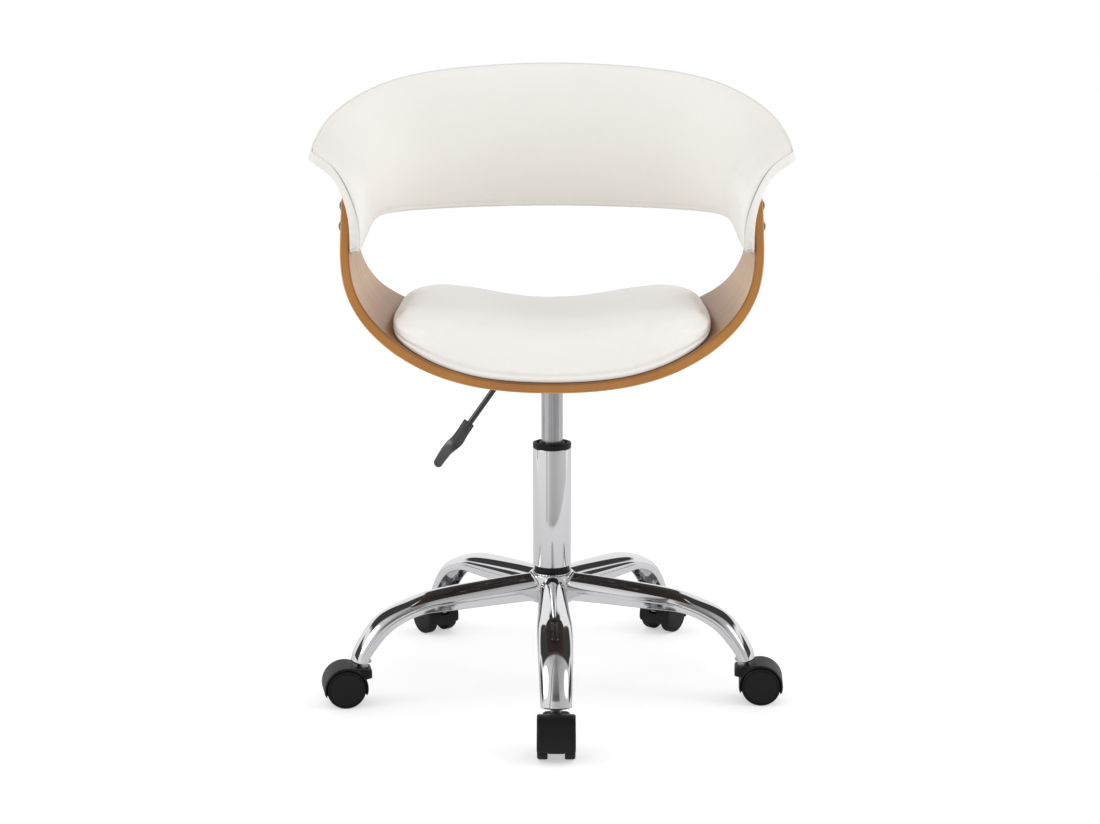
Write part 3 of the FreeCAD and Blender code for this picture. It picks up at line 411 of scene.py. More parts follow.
def ply_edge(name):
    """Lacquered plywood edge: veneers across the thickness, alternately long grain and end grain."""
    m, nt, b = new_mat(name)
    g = nd(nt, "ShaderNodeAttribute", attribute_name="grain").outputs["Vector"]
    sep = nd(nt, "ShaderNodeSeparateXYZ", {0: g})
    wob = tex_noise(nt, coords(nt, (14.0, 14.0, 1.0), "grain"), 1.0, 4.0)
    layer = mth(nt, "ADD", mth(nt, "MULTIPLY", sep.outputs[2], 1000.0 / (2 * SHELL_T / 9.0)), mth(nt, "MULTIPLY", wob, 0.55))
    fr = mth(nt, "FRACT", layer)
    col = ramp(nt, fr, [(0.0, (0.22, 0.075, 0.011)), (0.05, (0.39, 0.155, 0.026)), (0.45, (0.46, 0.195, 0.036)), (0.50, (0.24, 0.085, 0.012)),
                        (0.56, (0.31, 0.115, 0.018)), (0.95, (0.36, 0.138, 0.022)), (1.0, (0.22, 0.075, 0.011))])
    side = mth(nt, "MULTIPLY", sep.outputs[2], 1000.0 / SHELL_T)
    col = mixc(nt, ramp(nt, side, [(0.0, 0.85), (0.12, 0.80), (0.26, 0.0)]), col, (0.15, 0.054, 0.012))
    col = mixc(nt, ramp(nt, side, [(0.86, 0.0), (0.93, 0.55), (1.0, 0.7)]), col, (0.66, 0.37, 0.13))
    fibre = tex_noise(nt, coords(nt, (120.0, 120.0, 2600.0), "grain"), 1.0, 5.0, 0.65)
    dots = tex_noise(nt, coords(nt, (1500.0, 1500.0, 1500.0), "grain"), 1.0, 2.0)
    tone = tex_noise(nt, coords(nt, (7.0, 7.0, 1.0), "grain"), 1.0, 4.0)
    col = mixc(nt, mth(nt, "MULTIPLY", fibre, 0.34), col, (0.30, 0.11, 0.02))
    col = mixc(nt, mth(nt, "MULTIPLY", ramp(nt, dots, [(0.55, 0.0), (0.72, 1.0)]), 0.30), col, (0.20, 0.08, 0.018))
    col = mixc(nt, mth(nt, "MULTIPLY", ramp(nt, tone, [(0.35, 0.0), (0.65, 1.0)]), 0.30), col, (0.62, 0.29, 0.06))
    h = mth(nt, "ADD", ramp(nt, fr, [(0.0, 0.0), (0.04, 1.0), (0.46, 1.0), (0.5, 0.0), (0.54, 0.8), (0.96, 0.8), (1.0, 0.0)]),
            mth(nt, "MULTIPLY", fibre, 0.6))
    put(nt, b, Base_Color=col, Roughness=mth(nt, "ADD", mth(nt, "MULTIPLY", fibre, 0.2), 0.32), Normal=bump(nt, h, 0.00005, 0.55),
        Coat_Weight=0.22, Coat_Roughness=0.22)
    return m


M = {}
M["leather"] = leather("white_leatherette")
# painted shade: the boxing strip gets a darker copy of the same leatherette, standing in for the shade the strip is in
M["leather_strip"] = leather("white_leatherette_strip_painted_shade", (0.745, 0.728, 0.69))
M["thread"] = plain("seam_thread", (0.83, 0.81, 0.77), 0.6, bump_scale=5200.0, bump_dist=0.00004, spec=0.3)
# walnut_in passes low: painted shade over the middle of the shell round the cushion
M["walnut_in"] = veneer("walnut_veneer_inner", (0.41, 0.25, 0.138), (0.52, 0.34, 0.198), (0.61, 0.425, 0.265), 0.36, coat=0.08, spec=0.30, low=(0.46, 0.31, 0.18))
M["walnut_out"] = veneer("walnut_veneer_outer", (0.013, 0.0088, 0.0066), (0.027, 0.0182, 0.0135), (0.047, 0.0315, 0.0230), 0.54, coat=0.0, spec=0.18)
M["ply_edge"] = ply_edge("lacquered_ply_edge")
M["raw_ply"] = plain("raw_plywood", (0.55, 0.40, 0.24), 0.7, bump_scale=900.0, bump_dist=0.0001, spec=0.2, streak=(0.1, 1.0, 1.0))
M["chrome"] = chrome("chrome_plate")
M["chrome_weld"] = chrome("chrome_weld", (0.74, 0.74, 0.75), 0.10)
M["satin"] = satin_steel("satin_ground_steel")
M["zinc"] = plain("zinc_plated_steel", (0.50, 0.50, 0.51), 0.34, metal=1.0, bump_scale=1400.0, bump_dist=0.00002)
M["nickel"] = plain("dark_nickel_screw", (0.235, 0.232, 0.23), 0.26, metal=1.0, bump_scale=1600.0, bump_dist=0.00001)
M["hardened"] = plain("hardened_steel", (0.56, 0.56, 0.57), 0.22, metal=1.0, bump_scale=1800.0, bump_dist=0.00001)
M["powder"] = plain("black_powder_coat", (0.010, 0.010, 0.0105), 0.24, bump_scale=1500.0, bump_dist=0.00003, spec=0.8)
M["plastic"] = plain("black_moulded_plastic", (0.0100, 0.0097, 0.0100), 0.42, bump_scale=2400.0, bump_dist=0.00005, spec=0.17)
M["wheel"] = plain("black_wheel_plastic", (0.007, 0.0068, 0.007), 0.38, bump_scale=1900.0, bump_dist=0.00004, spec=0.20)
M["grip"] = plain("black_grip_plastic", (0.009, 0.0088, 0.009), 0.30, bump_scale=2200.0, bump_dist=0.00003, spec=1.0)
M["rubber"] = plain("black_rubber", (0.02, 0.02, 0.02), 0.65, bump_scale=1200.0, bump_dist=0.00006, spec=0.3)


def wobble(p, scale, seed=0.0, octaves=2):
    """Smooth noise about zero at points in millimetres; scale is the wavelength."""
    out = np.empty(len(p))
    for i, q in enumerate(p):
        out[i] = noise.fractal((q[0] / scale + seed, q[1] / scale - seed, q[2] / scale + 0.5 * seed), 1.0, 2.0, octaves,
                               noise_basis="PERLIN_ORIGINAL")
    return out


def smooth01(x):
    x = np.clip(x, 0.0, 1.0)
    return x * x * (3 - 2 * x)


def puff(ob, pin, voxel=0.005, pressure=4.0, cap=6.0, slack=0.0, frames=20):
    """Inflates a coarse copy of the closed piece as cloth and returns the move of each of the piece's own points (mm).
    pin(points in mm) gives 1 where the cloth is held."""
    me = ob.data.copy()
    sim = bpy.data.objects.new(ob.name + "_cloth", me)
    scene.collection.objects.link(sim)
    mod = sim.modifiers.new("remesh", "REMESH")
    mod.mode, mod.voxel_size = "VOXEL", voxel
    coarse = bpy.data.meshes.new_from_object(sim.evaluated_get(bpy.context.evaluated_depsgraph_get()))
    sim.modifiers.clear()
    sim.data = coarse
    n = len(coarse.vertices)
    p0 = np.empty(n * 3, np.float32)
    coarse.vertices.foreach_get("co", p0)
    p0 = p0.reshape(-1, 3).astype(float)
    w = pin(p0 / MM)
    vg = sim.vertex_groups.new(name="held")
    for i in range(n):
        vg.add([i], float(w[i]), "REPLACE")
    cl = sim.modifiers.new("cloth", "CLOTH")
    st = cl.settings
    st.quality, st.mass = 6, 0.3
    st.tension_stiffness = st.compression_stiffness = st.shear_stiffness = 15.0
    st.bending_stiffness = 0.5
    st.use_pressure, st.uniform_pressure_force = True, pressure
    st.shrink_min = -slack
    st.vertex_group_mass = "held"
    st.effector_weights.gravity = 0.0
    cl.point_cache.frame_start, cl.point_cache.frame_end = 1, frames
    keep = (scene.frame_start, scene.frame_end, scene.frame_current)
    scene.frame_start, scene.frame_end = 1, frames
    for f in range(1, frames + 1):
        scene.frame_set(f)
    ev = sim.evaluated_get(bpy.context.evaluated_depsgraph_get())
    p1 = np.empty(n * 3, np.float32)
    ev.data.vertices.foreach_get("co", p1)
    move = (p1.reshape(-1, 3).astype(float) - p0) / MM
    length = np.linalg.norm(move, axis=1, keepdims=True)
    move *= cap * np.tanh(length / cap) / np.maximum(length, 1e-9)
    scene.frame_start, scene.frame_end = keep[:2]
    scene.frame_set(keep[2])
    bpy.data.objects.remove(sim)
    tree = kdtree.KDTree(n)
    for i in range(n):
        tree.insert(p0[i], i)
    tree.balance()
    out = np.zeros((len(ob.data.vertices), 3))
    for i, v in enumerate(ob.data.vertices):
        near = tree.find_n(v.co, 6)
        ws = np.array([1.0 / (q[2] + 0.0015) ** 2 for q in near])
        out[i] = (ws[:, None] * move[[q[1] for q in near]]).sum(0) / ws.sum()
    return out


def read_attr(ob, name):
    a = np.empty(len(ob.data.vertices), np.float32)
    ob.data.attributes[name].data.foreach_get("value", a)
    return a


def shift_points(ob, move):
    co = np.empty(len(ob.data.vertices) * 3, np.float32)
    ob.data.vertices.foreach_get("co", co)
    ob.data.vertices.foreach_set("co", (co.reshape(-1, 3) + move * MM).astype(np.float32).ravel())
    ob.data.update()


# ----------------------------------------------------------------- upholstered back
LX, UX = odd(B_S, B_LX), odd(B_S, B_UX)
LY, UY = even(B_S, B_LY), even(B_S, B_UY)
LZ, UZ = even(B_S, B_LZ), even(B_S, B_UZ)
T0, PW = even(B_S, B_T0), even(B_S, B_P)


def smax(t):
    k = np.maximum(0.0, (t - CORNER_T) / (1 - CORNER_T)) * 0.965
    return 1.0 - CORNER_R * (1 - np.sqrt(1 - k * k))


def mid_point(s, t):
    a = np.maximum(0.0, T0(s))
    g = np.maximum(0.0, (t - a) / (1 - a)) ** PW(s)
    w = smooth01((np.abs(s) - 0.4) / 0.2)
    hy = g + (t ** 2.0 - g) * w
    x0, y0, z0 = LX(s), LY(s), LZ(s)
    return np.stack([x0 + (UX(s) - x0) * g, y0 + (UY(s) - y0) * hy, z0 + (UZ(s) - z0) * t], -1)


def mid_normal(s, t):
    e = 0.004
    sa, sb = np.maximum(-1.0, s - e), np.minimum(1.0, s + e)
    ta, tb = np.maximum(0.0, t - e), np.minimum(1.0, t + e)
    return -unit(np.cross(mid_point(sb, t) - mid_point(sa, t), mid_point(s, tb) - mid_point(s, ta)))


if mid_normal(np.array([0.0]), np.array([0.5]))[0][1] < 0:
    _flip = -1.0
else:
    _flip = 1.0


def rear_normal(s, t):
    return mid_normal(s, t) * _flip


BAND_HALF = 425.0
EDGE_MM = np.array([0, .3, .65, 1.0, 1.4, 1.8, 2.2, 2.7, 3.2, 3.7, 4.4, 5.4, 7.0, 9.0, 12.0, 16.0, 22.0])


def edge_nodes(length, inner):
    a = EDGE_MM / length
    m = np.linspace(a[-1], 1 - a[-1], inner + 2)[1:-1]
    return np.concatenate([a, m, 1 - a[::-1]])


def band_height(sg):
    t = np.linspace(0, 1, 25)
    p = mid_point(sg * smax(t), t)
    return np.linalg.norm(np.diff(p, axis=0), axis=1).sum()


def soft_corner(sg, t, H, r=7.0):
    """Moves points near the four corners of the band so that the corners are round."""
    sign = np.where(sg < 0, -1.0, 1.0)
    a = (1 - np.abs(sg)) * BAND_HALF
    for low in (True, False):
        b = (t if low else 1 - t) * H
        p, q = np.clip((r - a) / r, 0, 1), np.clip((r - b) / r, 0, 1)
        x, y = p * np.sqrt(1 - q * q / 2), q * np.sqrt(1 - p * p / 2)
        m = (p > 0) & (q > 0)
        a = np.where(m, r * (1 - x), a)
        b = np.where(m, r * (1 - y), b)
        t = np.where(m, b / H if low else 1 - b / H, t)
    return sign * (1 - a / BAND_HALF), t


def border_loop(step):
    """(sg, t) along the whole border, about one point each step millimetres."""
    sgs, ts = [], []
    nl = int(2 * BAND_HALF / step)
    for k in range(nl):
        sgs.append(-1 + 2 * k / nl)
        ts.append(0.0)
    nh = int(band_height(1.0) / step)
    for k in range(nh):
        sgs.append(1.0)
        ts.append(k / nh)
    for k in range(nl):
        sgs.append(1 - 2 * k / nl)
        ts.append(1.0)
    for k in range(nh):
        sgs.append(-1.0)
        ts.append(1 - k / nh)
    sgs, ts = np.array(sgs), np.array(ts)
    H = np.interp(np.abs(sgs), HS, HV)
    return soft_corner(sgs, ts, H)


HS = np.linspace(0, 1, 21)
HV = np.array([band_height(s) for s in HS])
_sg, _t = border_loop(0.25)
_fine = mid_point(_sg * smax(_t), _t)
_tree = kdtree.KDTree(len(_fine))
for _i, _p in enumerate(_fine):
    _tree.insert(_p, _i)
_tree.balance()
_len = np.concatenate([[0], np.cumsum(np.linalg.norm(np.diff(_fine, axis=0), axis=1))])

sg_nodes = -1 + 2 * edge_nodes(2 * BAND_HALF, 176)
G_SG = np.repeat(sg_nodes[:, None], 2 * len(EDGE_MM) + 30, 1)
G_T = np.stack([edge_nodes(np.interp(abs(s), HS, HV), 30) for s in sg_nodes])
G_H = np.repeat(np.interp(np.abs(sg_nodes), HS, HV)[:, None], G_T.shape[1], 1)
G_SG, G_T = soft_corner(G_SG, G_T, G_H)
G_S = G_SG * smax(G_T)
G_MID = mid_point(G_S, G_T)
G_N = rear_normal(G_S, G_T)
_flat = G_MID.reshape(-1, 3)
_near = [_tree.find(p) for p in _flat]
G_D = np.array([q[2] for q in _near]).reshape(G_T.shape)
G_L = np.array([_len[q[1]] for q in _near]).reshape(G_T.shape)


def crown(sg, t):
    c = PAD_CROWN + (8.0 - PAD_CROWN) * np.minimum(1.0, np.abs(sg) / 0.6)
    return c * (1 - np.abs(2 * t - 1) ** 2.6) * (1 - np.abs(sg) ** 10)


SEAM = smooth01((np.abs(G_SG) - 0.93) / 0.05) * smooth01((0.97 - G_T) / 0.25)


def panel_profile(d, rise):
    """Height of a sewn panel over its base near the border: turned edge, ridge, stitch groove, padding."""
    edge = -1.65 * SEAM * np.exp(-(d / 0.75) ** 2)
    ridge = (0.15 + 0.8 * SEAM) * np.exp(-((d - 1.75) / 0.85) ** 2)
    groove = -(0.08 + 0.27 * SEAM) * np.exp(-((d - 3.3) / 0.55) ** 2)
    return edge + ridge + groove + rise * (1 - np.exp(-np.maximum(d - 3.3, 0) / 4.5))


def closed_panel(name, outer_off, inner_off):
    ni, nj = G_T.shape
    outer = (G_MID + G_N * outer_off[..., None]).reshape(-1, 3)
    inner = (G_MID + G_N * inner_off).reshape(-1, 3)
    faces = grid_faces(ni, nj) + grid_faces(ni, nj, base=ni * nj, flip=True)
    rim = [(i, 0) for i in range(ni)] + [(ni - 1, j) for j in range(1, nj)] + [(i, nj - 1) for i in range(ni - 2, -1, -1)] + \
          [(0, j) for j in range(nj - 2, 0, -1)]
    for k in range(len(rim)):
        a, b = rim[k], rim[(k + 1) % len(rim)]
        ia, ib = a[0] * nj + a[1], b[0] * nj + b[1]
        faces.append((ia, ni * nj + ia, ni * nj + ib, ib))
    # painted shade: 'dark' darkens the seam groove along the arm fronts through the 'crease' attribute
    dark = np.concatenate([(0.92 * SEAM * np.exp(-(G_D / 0.62) ** 4)).ravel(), np.zeros(ni * nj)])
    return make(name, np.concatenate([outer, inner]), faces, M["leather"], "seat", attrs={"crease": dark})


_pts = G_MID.reshape(-1, 3)
soft = (wobble(_pts, 95.0, 3.0) * 0.9 + wobble(_pts, 34.0, 8.0) * 0.28).reshape(G_T.shape) * smooth01(G_D / 25.0)
pucker = np.array([noise.noise((l / 7.5, d / 16.0, 4.0)) for l, d in zip(G_L.ravel(), G_D.ravel())]).reshape(G_T.shape)
pucker = pucker * 0.42 * np.exp(-G_D / 9.0) * smooth01((G_D - 2.4) / 2.0)
front_off = -(6.0 + panel_profile(G_D, 1.9) + crown(G_SG, G_T) + soft + pucker)
back_front = closed_panel("back_front_panel", front_off, -(PLY_HALF + 0.2))
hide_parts("back_front_pad")

pucker_r = np.array([noise.noise((l / 8.0, d / 16.0, 9.0)) for l, d in zip(G_L.ravel(), G_D.ravel())]).reshape(G_T.shape)
pucker_r = pucker_r * 0.35 * np.exp(-G_D / 9.0) * smooth01((G_D - 2.4) / 2.0)
clear = smooth01((0.74 - np.abs(G_SG)) / 0.2)
rear_crown = 2.6 * (1 - np.abs(2 * G_T - 1) ** 2.4) * clear
rear_off = 5.3 + panel_profile(G_D, 0.9) + rear_crown + (soft * 0.6 + pucker_r) * clear
rear_off = np.where(np.abs(G_SG) > 0.5, np.minimum(rear_off, 6.8 + 3.0 * clear), rear_off)
back_rear = closed_panel("back_rear_panel", rear_off, PLY_HALF + 0.2)
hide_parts("back_rear_cover")

# boxing strip round the border
B_SG, B_TT = border_loop(1.6)
B_P3 = mid_point(B_SG * smax(B_TT), B_TT)
B_N3 = rear_normal(B_SG * smax(B_TT), B_TT)
_tan = unit(np.roll(B_P3, -1, 0) - np.roll(B_P3, 1, 0))
B_O3 = unit(np.cross(_tan, B_N3))
_ti = 0.5 + (B_TT - 0.5) * 0.94
_in = mid_point(B_SG * 0.975 * smax(_ti), _ti)
B_O3 *= np.sign(np.einsum("ij,ij->i", B_O3, B_P3 - _in))[:, None]
for _ in range(3):
    B_O3 = unit(B_O3 * 2 + np.roll(B_O3, 1, 0) + np.roll(B_O3, -1, 0))
B_LEN = np.concatenate([[0], np.cumsum(np.linalg.norm(np.diff(B_P3, axis=0), axis=1))])
arm_front = smooth01((np.abs(B_SG) - 0.93) / 0.05)
tip = np.exp(-((1 - np.abs(B_SG)) * BAND_HALF + B_TT * 110.0) / 7.0)
nphi = 17
verts, dark = [], []
for i in range(len(B_P3)):
    for k in range(nphi):
        ph = math.pi * k / (nphi - 1)
        c, s = math.cos(ph), math.sin(ph)
        off = -6.15 * math.copysign(abs(c) ** 0.62, c)
        outw = 0.02 + 0.43 * arm_front[i] + 1.75 * s ** 0.62
        w = noise.noise((B_LEN[i] / 5.5, k * 0.22, 2.0)) * (0.22 + 0.75 * arm_front[i]) * s
        w += noise.noise((B_LEN[i] / 2.2, k * 0.10, 6.0)) * 0.14 * s
        w -= 2.1 * tip[i] * max(0.0, math.sin(B_LEN[i] * 1.9 + 0.6 * c)) ** 4 * s
        verts.append(B_P3[i] + B_N3[i] * off + B_O3[i] * (outw + w))
        # painted shade: the rows next to the seam grooves on the arm fronts and the folds of the puckers at the arm
        # tips are darkened through 'crease'
        dark.append(max({0: 0.7, 1: 0.05, nphi - 1: 0.7, nphi - 2: 0.05}.get(k, 0.0) * arm_front[i], 1.1 * tip[i] * max(0.0, math.sin(B_LEN[i] * 1.9 + 1.6 * c) * math.sin(2.4 * ph + 0.8)) ** 1.5))
    # painted shade: on the arm fronts the rows tucked into the groove are darkened
    for off in (4.5, 0.0, -4.5):
        verts.append(B_P3[i] + B_N3[i] * off - B_O3[i] * (2.6 if off == 0.0 else 0.3))
        dark.append(0.8 * arm_front[i])
strip = make("back_boxing_strip", verts, grid_faces(len(B_P3), nphi + 3, wrap_u=True, wrap_v=True), M["leather_strip"], "seat", attrs={"crease": dark})
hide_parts("back_edge_strip")


def stitches(name, off, depth, pitch=3.4, length=2.5, rad=0.26, phase=0.0):
    verts, faces = [], []
    total = B_LEN[-1]
    cs = np.stack([np.interp(np.arange(phase, total, pitch), B_LEN, (B_P3 - B_O3 * depth + B_N3 * off)[:, a]) for a in range(3)], -1)
    ns = unit(np.stack([np.interp(np.arange(phase, total, pitch), B_LEN, B_N3[:, a]) for a in range(3)], -1)) * np.sign(off)
    ts = unit(np.roll(cs, -1, 0) - np.roll(cs, 1, 0))
    for c, n, t in zip(cs, ns, ts):
        u = np.cross(n, t)
        base = len(verts)
        for f, rr in ((-1.0, 0.25), (-0.7, 0.8), (0.0, 1.0), (0.7, 0.8), (1.0, 0.25)):
            for k in range(6):
                a = math.pi * k / 3
                verts.append(c + t * (f * length / 2) + (u * math.cos(a) + n * math.sin(a)) * rad * rr - n * (abs(f) ** 3 * 0.35))
        faces += grid_faces(5, 6, base=base, wrap_v=True)
        faces += [tuple(base + k for k in range(6))[::-1], tuple(base + 24 + k for k in range(6))]
    ob = make(name, verts, faces, M["thread"], "seat", clean=False)
    return ob


stitches("back_front_stitching", -5.93, 3.3)
stitches("back_rear_stitching", 5.23, 3.3, phase=1.2)

# ----------------------------------------------------------------- plywood seat shell
prof = np.array([(-x, z) for x, z in SHELL_IN[:0:-1]] + list(SHELL_IN), float)
_u = np.concatenate([[0], np.cumsum(np.linalg.norm(np.diff(prof, axis=0), axis=1))])
_u -= _u[len(SHELL_IN) - 1]
PX, PZ = cubic(_u, prof[:, 0]), cubic(_u, prof[:, 1])
outline = np.array(SHELL_FRONT + SHELL_REAR, float)
_v = np.concatenate([[0], np.cumsum(np.linalg.norm(np.diff(outline, axis=0), axis=1))])
_dv = np.linspace(0, _v[-1], 4000)
OY, OZ = cubic(_v, outline[:, 0])(_dv), cubic(_v, outline[:, 1])(_dv)
_ot = unit(np.stack([np.gradient(OY), np.gradient(OZ)], -1))
EDGE_R = 1.7


def outline_at(delta):
    y, z = OY + _ot[:, 1] * delta, OZ - _ot[:, 0] * delta
    k = int(np.argmax(z))
    return (z[:k + 1], y[:k + 1]), (z[k:][::-1], y[k:][::-1]), z[k], y[k]


Z_TIP = outline_at(0.0)[2]
S_TIP = float(np.interp(Z_TIP, PZ(np.linspace(200, _u[-1], 2000)), np.linspace(200, _u[-1], 2000)))
_below = np.array([0, .03, .12, .3, .55, .9, 1.4, 2.1, 3.0, 4.2, 5.8, 7.8, 10.2, 13, 16.2, 20, 24.5, 29.5, 35])
_half = np.concatenate([np.arange(0, S_TIP - 38.0, 5.0), (S_TIP - _below)[::-1]])
STN = np.concatenate([-_half[:0:-1], _half])
_f = np.concatenate([[0, 0.004, 0.012, 0.03], np.linspace(0.06, 0.94, 23), [0.97, 0.988, 0.996, 1.0]])
ring = [(EDGE_R, 0.0, f, 0) for f in _f]
_ph = np.linspace(0, math.pi / 2, 6)
ring += [(EDGE_R * (1 - math.sin(p)), EDGE_R * (1 - math.cos(p)), 1.0, 1) for p in _ph[1:]]
ring += [(0.0, w, 1.0, 1) for w in (4.0, 6.5, 8.5)]
ring += [(EDGE_R * (1 - math.cos(p)), SHELL_T - EDGE_R * (1 - math.sin(p)), 1.0, 1) for p in _ph[:-1]]
ring += [(EDGE_R, SHELL_T, f, 2) for f in _f[::-1]]
ring += [(EDGE_R * (1 - math.sin(p)), SHELL_T - EDGE_R * (1 - math.cos(p)), 0.0, 1) for p in _ph[1:]]
ring += [(0.0, w, 0.0, 1) for w in (8.5, 6.5, 4.0)]
ring += [(EDGE_R * (1 - math.cos(p)), EDGE_R * (1 - math.sin(p)), 0.0, 1) for p in _ph[:-1]]
cols, grains = [], []
for delta, w, f, kind in ring:
    s = np.sign(STN) * (np.abs(STN) - delta * smooth01((np.abs(STN) - (S_TIP - 50)) / 50))
    e = 0.5
    tx, tz = PX(s + e) - PX(s - e), PZ(s + e) - PZ(s - e)
    l = np.hypot(tx, tz)
    x, z = PX(s) + tz / l * w, PZ(s) - tx / l * w
    (fz, fy), (rz, ry), ztip, ytip = outline_at(delta)
    yf, yr = np.interp(z, fz, fy), np.interp(z, rz, ry)
    yr = np.maximum(yr, yf)
    y = yf + (yr - yf) * f
    end = np.abs(STN) > S_TIP - 1e-6
    y = np.where(end, ytip, y)
    cols.append(np.stack([x, y, z], -1))
    grains.append(np.stack([s, y, np.full_like(s, w)], -1) * MM)
verts = np.stack(cols, 1).reshape(-1, 3)
grain = np.stack(grains, 1).reshape(-1, 3)
nr = len(ring)
faces = grid_faces(len(STN), nr, wrap_v=True)
kinds = []
for i in range(len(STN) - 1):
    for j in range(nr):
        a, b = ring[j][3], ring[(j + 1) % nr][3]
        kinds.append(a if a == b else 1)
shell = make("seat_shell_plywood", verts, faces, [M["walnut_in"], M["ply_edge"], M["walnut_out"]], "seat", poly_mats=kinds,
             attrs={"grain": grain})
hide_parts("seat_shell")

# ----------------------------------------------------------------- seat cushion
shell_z = cubic([p[0] for p in SHELL_IN[:12]], [p[1] for p in SHELL_IN[:12]])


def base_top(x):
    x = np.abs(x)
    d = np.where(x > 0.5, shell_z(x + 0.5) - shell_z(x - 0.5), 0.0)
    return shell_z(x) + (CUSH_BASE_T + 0.25) * np.sqrt(1 + d * d)


def top_z(x):
    return 490.5 + 19.0 * (1 - np.cos(np.minimum(np.abs(x), 172.0) / 172.0 * math.pi)) / 2


CUSH_OUT = [(-199, 103), (-195, 76), (-188, 51), (-178, 31), (-164, 16), (-140, 7), (-100, 2), (-50, 0), (20, 0), (80, 0.5),
            (118, 3), (142, 9), (160, 18), (173, 31), (182, 50), (188, 78)]
_r = [(CUSH_HALF_X - i, y) for y, i in CUSH_OUT]
_c = [(0, -200.6), (50, -200.2)] + _r + [(52, 191.4), (0, 191.8), (-52, 191.4)] + [(-x, y) for x, y in _r[::-1]] + [(-50, -200.2)]
_c = np.array(_c, float)
_c3 = np.concatenate([_c, _c, _c, _c[:1]])
_w = np.concatenate([[0], np.cumsum(np.linalg.norm(np.diff(_c3, axis=0), axis=1))])
_per = _w[-1] / 3
NTH = 264
_q = _per + _per * np.arange(NTH) / NTH
CO = np.stack([cubic(_w, _c3[:, 0])(_q), cubic(_w, _c3[:, 1])(_q)], -1)
CC = np.array([0.0, -4.0])
DIRC = unit(CC - CO)
DISTC = np.linalg.norm(CC - CO, axis=1)
TOP_D = 31.0
_cl = np.concatenate([[0], np.cumsum(np.linalg.norm(np.diff(CO, axis=0), axis=1))])
CPUCK = np.array([0.75 * noise.noise((l / 17.0, 1.0, 5.0)) + 0.5 * max(0.0, noise.noise((l / 6.0, 7.0, 5.0))) for l in _cl])


def base_low(x):
    """Lower edge of the cover, just above the shell."""
    x = np.abs(x)
    d = np.where(x > 0.5, shell_z(x + 0.5) - shell_z(x - 0.5), 0.0)
    return shell_z(x) + 0.35 * np.sqrt(1 + d * d)


def cushion_mesh():
    """Cover wrapped round the panel below it: under side, skirt, wall with its seam, rolled edge, top."""
    h_out = top_z(CO[:, 0]) - base_low(CO[:, 0])
    k = np.clip(h_out / 44.0, 0.32, 1.0)
    td = np.minimum(TOP_D, 1.15 * h_out)
    zero = np.zeros(NTH)
    rows = [("panel", DISTC - (DISTC - 4.3) * f, zero) for f in np.linspace(0.04, 1.0, 9)]
    rows += [("blend", zero + 3.9, zero + f) for f in (0.75, 0.35, 0.06)]
    rows += [("wall", zero + e, zero) for e in (3.3, 2.6)]
    rows += [("wall", 2.2 * (1 - math.sin(p)) + zero, 2.2 * (1 - math.cos(p)) + zero) for p in np.linspace(0, math.pi / 2, 6)[1:]]
    for zz in (3.2, 4.6, 6.0, 7.2, 7.9, 8.3, 8.6, 8.8, 9.0, 9.3, 9.8, 10.6, 12.0, 14.0, 16.5):
        g = k * ((1.25 + CPUCK) * math.exp(-((zz - 8.8) / 2.3) ** 2) - 0.8 * math.sin(math.pi * min(1.0, abs(zz - 8.8) / 8.0)))
        rows.append(("wall", g, 2.2 + (zz - 2.2) * k))
    low = 2.2 + 14.3 * k
    for p in np.linspace(0, math.pi / 2, 16)[1:]:
        rows.append(("top", td * (1 - math.cos(p) ** 0.86), (low, math.sin(p) ** 0.93)))
    for f in np.linspace(0, 1, 30)[1:-1]:
        rows.append(("top", td + (DISTC - td) * f * 0.985, (low, 1.0)))
    cols, dark, soft_w = [], [], []
    for kind, e, zz in rows:
        xy = CO + DIRC * e[:, None]
        bl = base_low(xy[:, 0])
        if kind == "panel":
            z = base_top(xy[:, 0])
        elif kind == "blend":
            z = bl + (base_top(xy[:, 0]) - bl) * zz
        elif kind == "wall":
            z = bl + zz
        else:
            h = top_z(xy[:, 0]) - bl
            fr = 0.985 + 0.035 * smooth01((xy[:, 1] + 60) / -80.0)
            z = bl + zz[0] + (h * fr - zz[0]) * zz[1]
        cols.append(np.stack([xy[:, 0], xy[:, 1], z], -1))
        # painted shade: 'dark' darkens the wall along its seam crease
        if kind == "wall":
            dark.append(0.05 * np.exp(-(((zz - 2.2) / k - 6.6) / 1.2) ** 2))
            soft_w.append(smooth01(((zz - 2.2) / k - 7.4) / 6.0))
        else:
            dark.append(zero)
            soft_w.append(zero + (1.0 if kind == "top" else 0.0))
    faces = grid_faces(len(rows), NTH, wrap_v=True)
    faces += [tuple(range(NTH))[::-1], tuple((len(rows) - 1) * NTH + i for i in range(NTH))]
    return np.concatenate(cols), faces, np.concatenate(dark), np.concatenate(soft_w)


verts, faces, dark, soft_w = cushion_mesh()
# painted shade: the cover's seam crease is darkened through the 'crease' attribute, at half strength
cushion = make("seat_cushion_cover", verts, faces, M["leather"], "seat", attrs={"crease": np.asarray(dark) * 0.5, "soft": soft_w})
def held(p):
    over = p[:, 2] - base_low(p[:, 0])
    return 1.0 - smooth01((over - 10.5) / 5.0)
shift_points(cushion, puff(cushion, held, cap=5.0, slack=0.02) * read_attr(cushion, "soft")[:, None])
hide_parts("seat_cushion")

# ----------------------------------------------------------------- five-leg base
_top, _bot = np.array(LEG_TOP, float), np.array(LEG_BOT, float)
_lw = np.concatenate([[0], np.cumsum(np.linalg.norm(np.diff(_top, axis=0), axis=1))])
TR, TZ = cubic(_lw, _top[:, 0]), cubic(_lw, _top[:, 1])
BR, BZ = cubic(_lw, _bot[:, 0]), cubic(_lw, _bot[:, 1])
LH = cubic(_lw, LEG_HALF)
HUB_START = HUB_R + 0.02


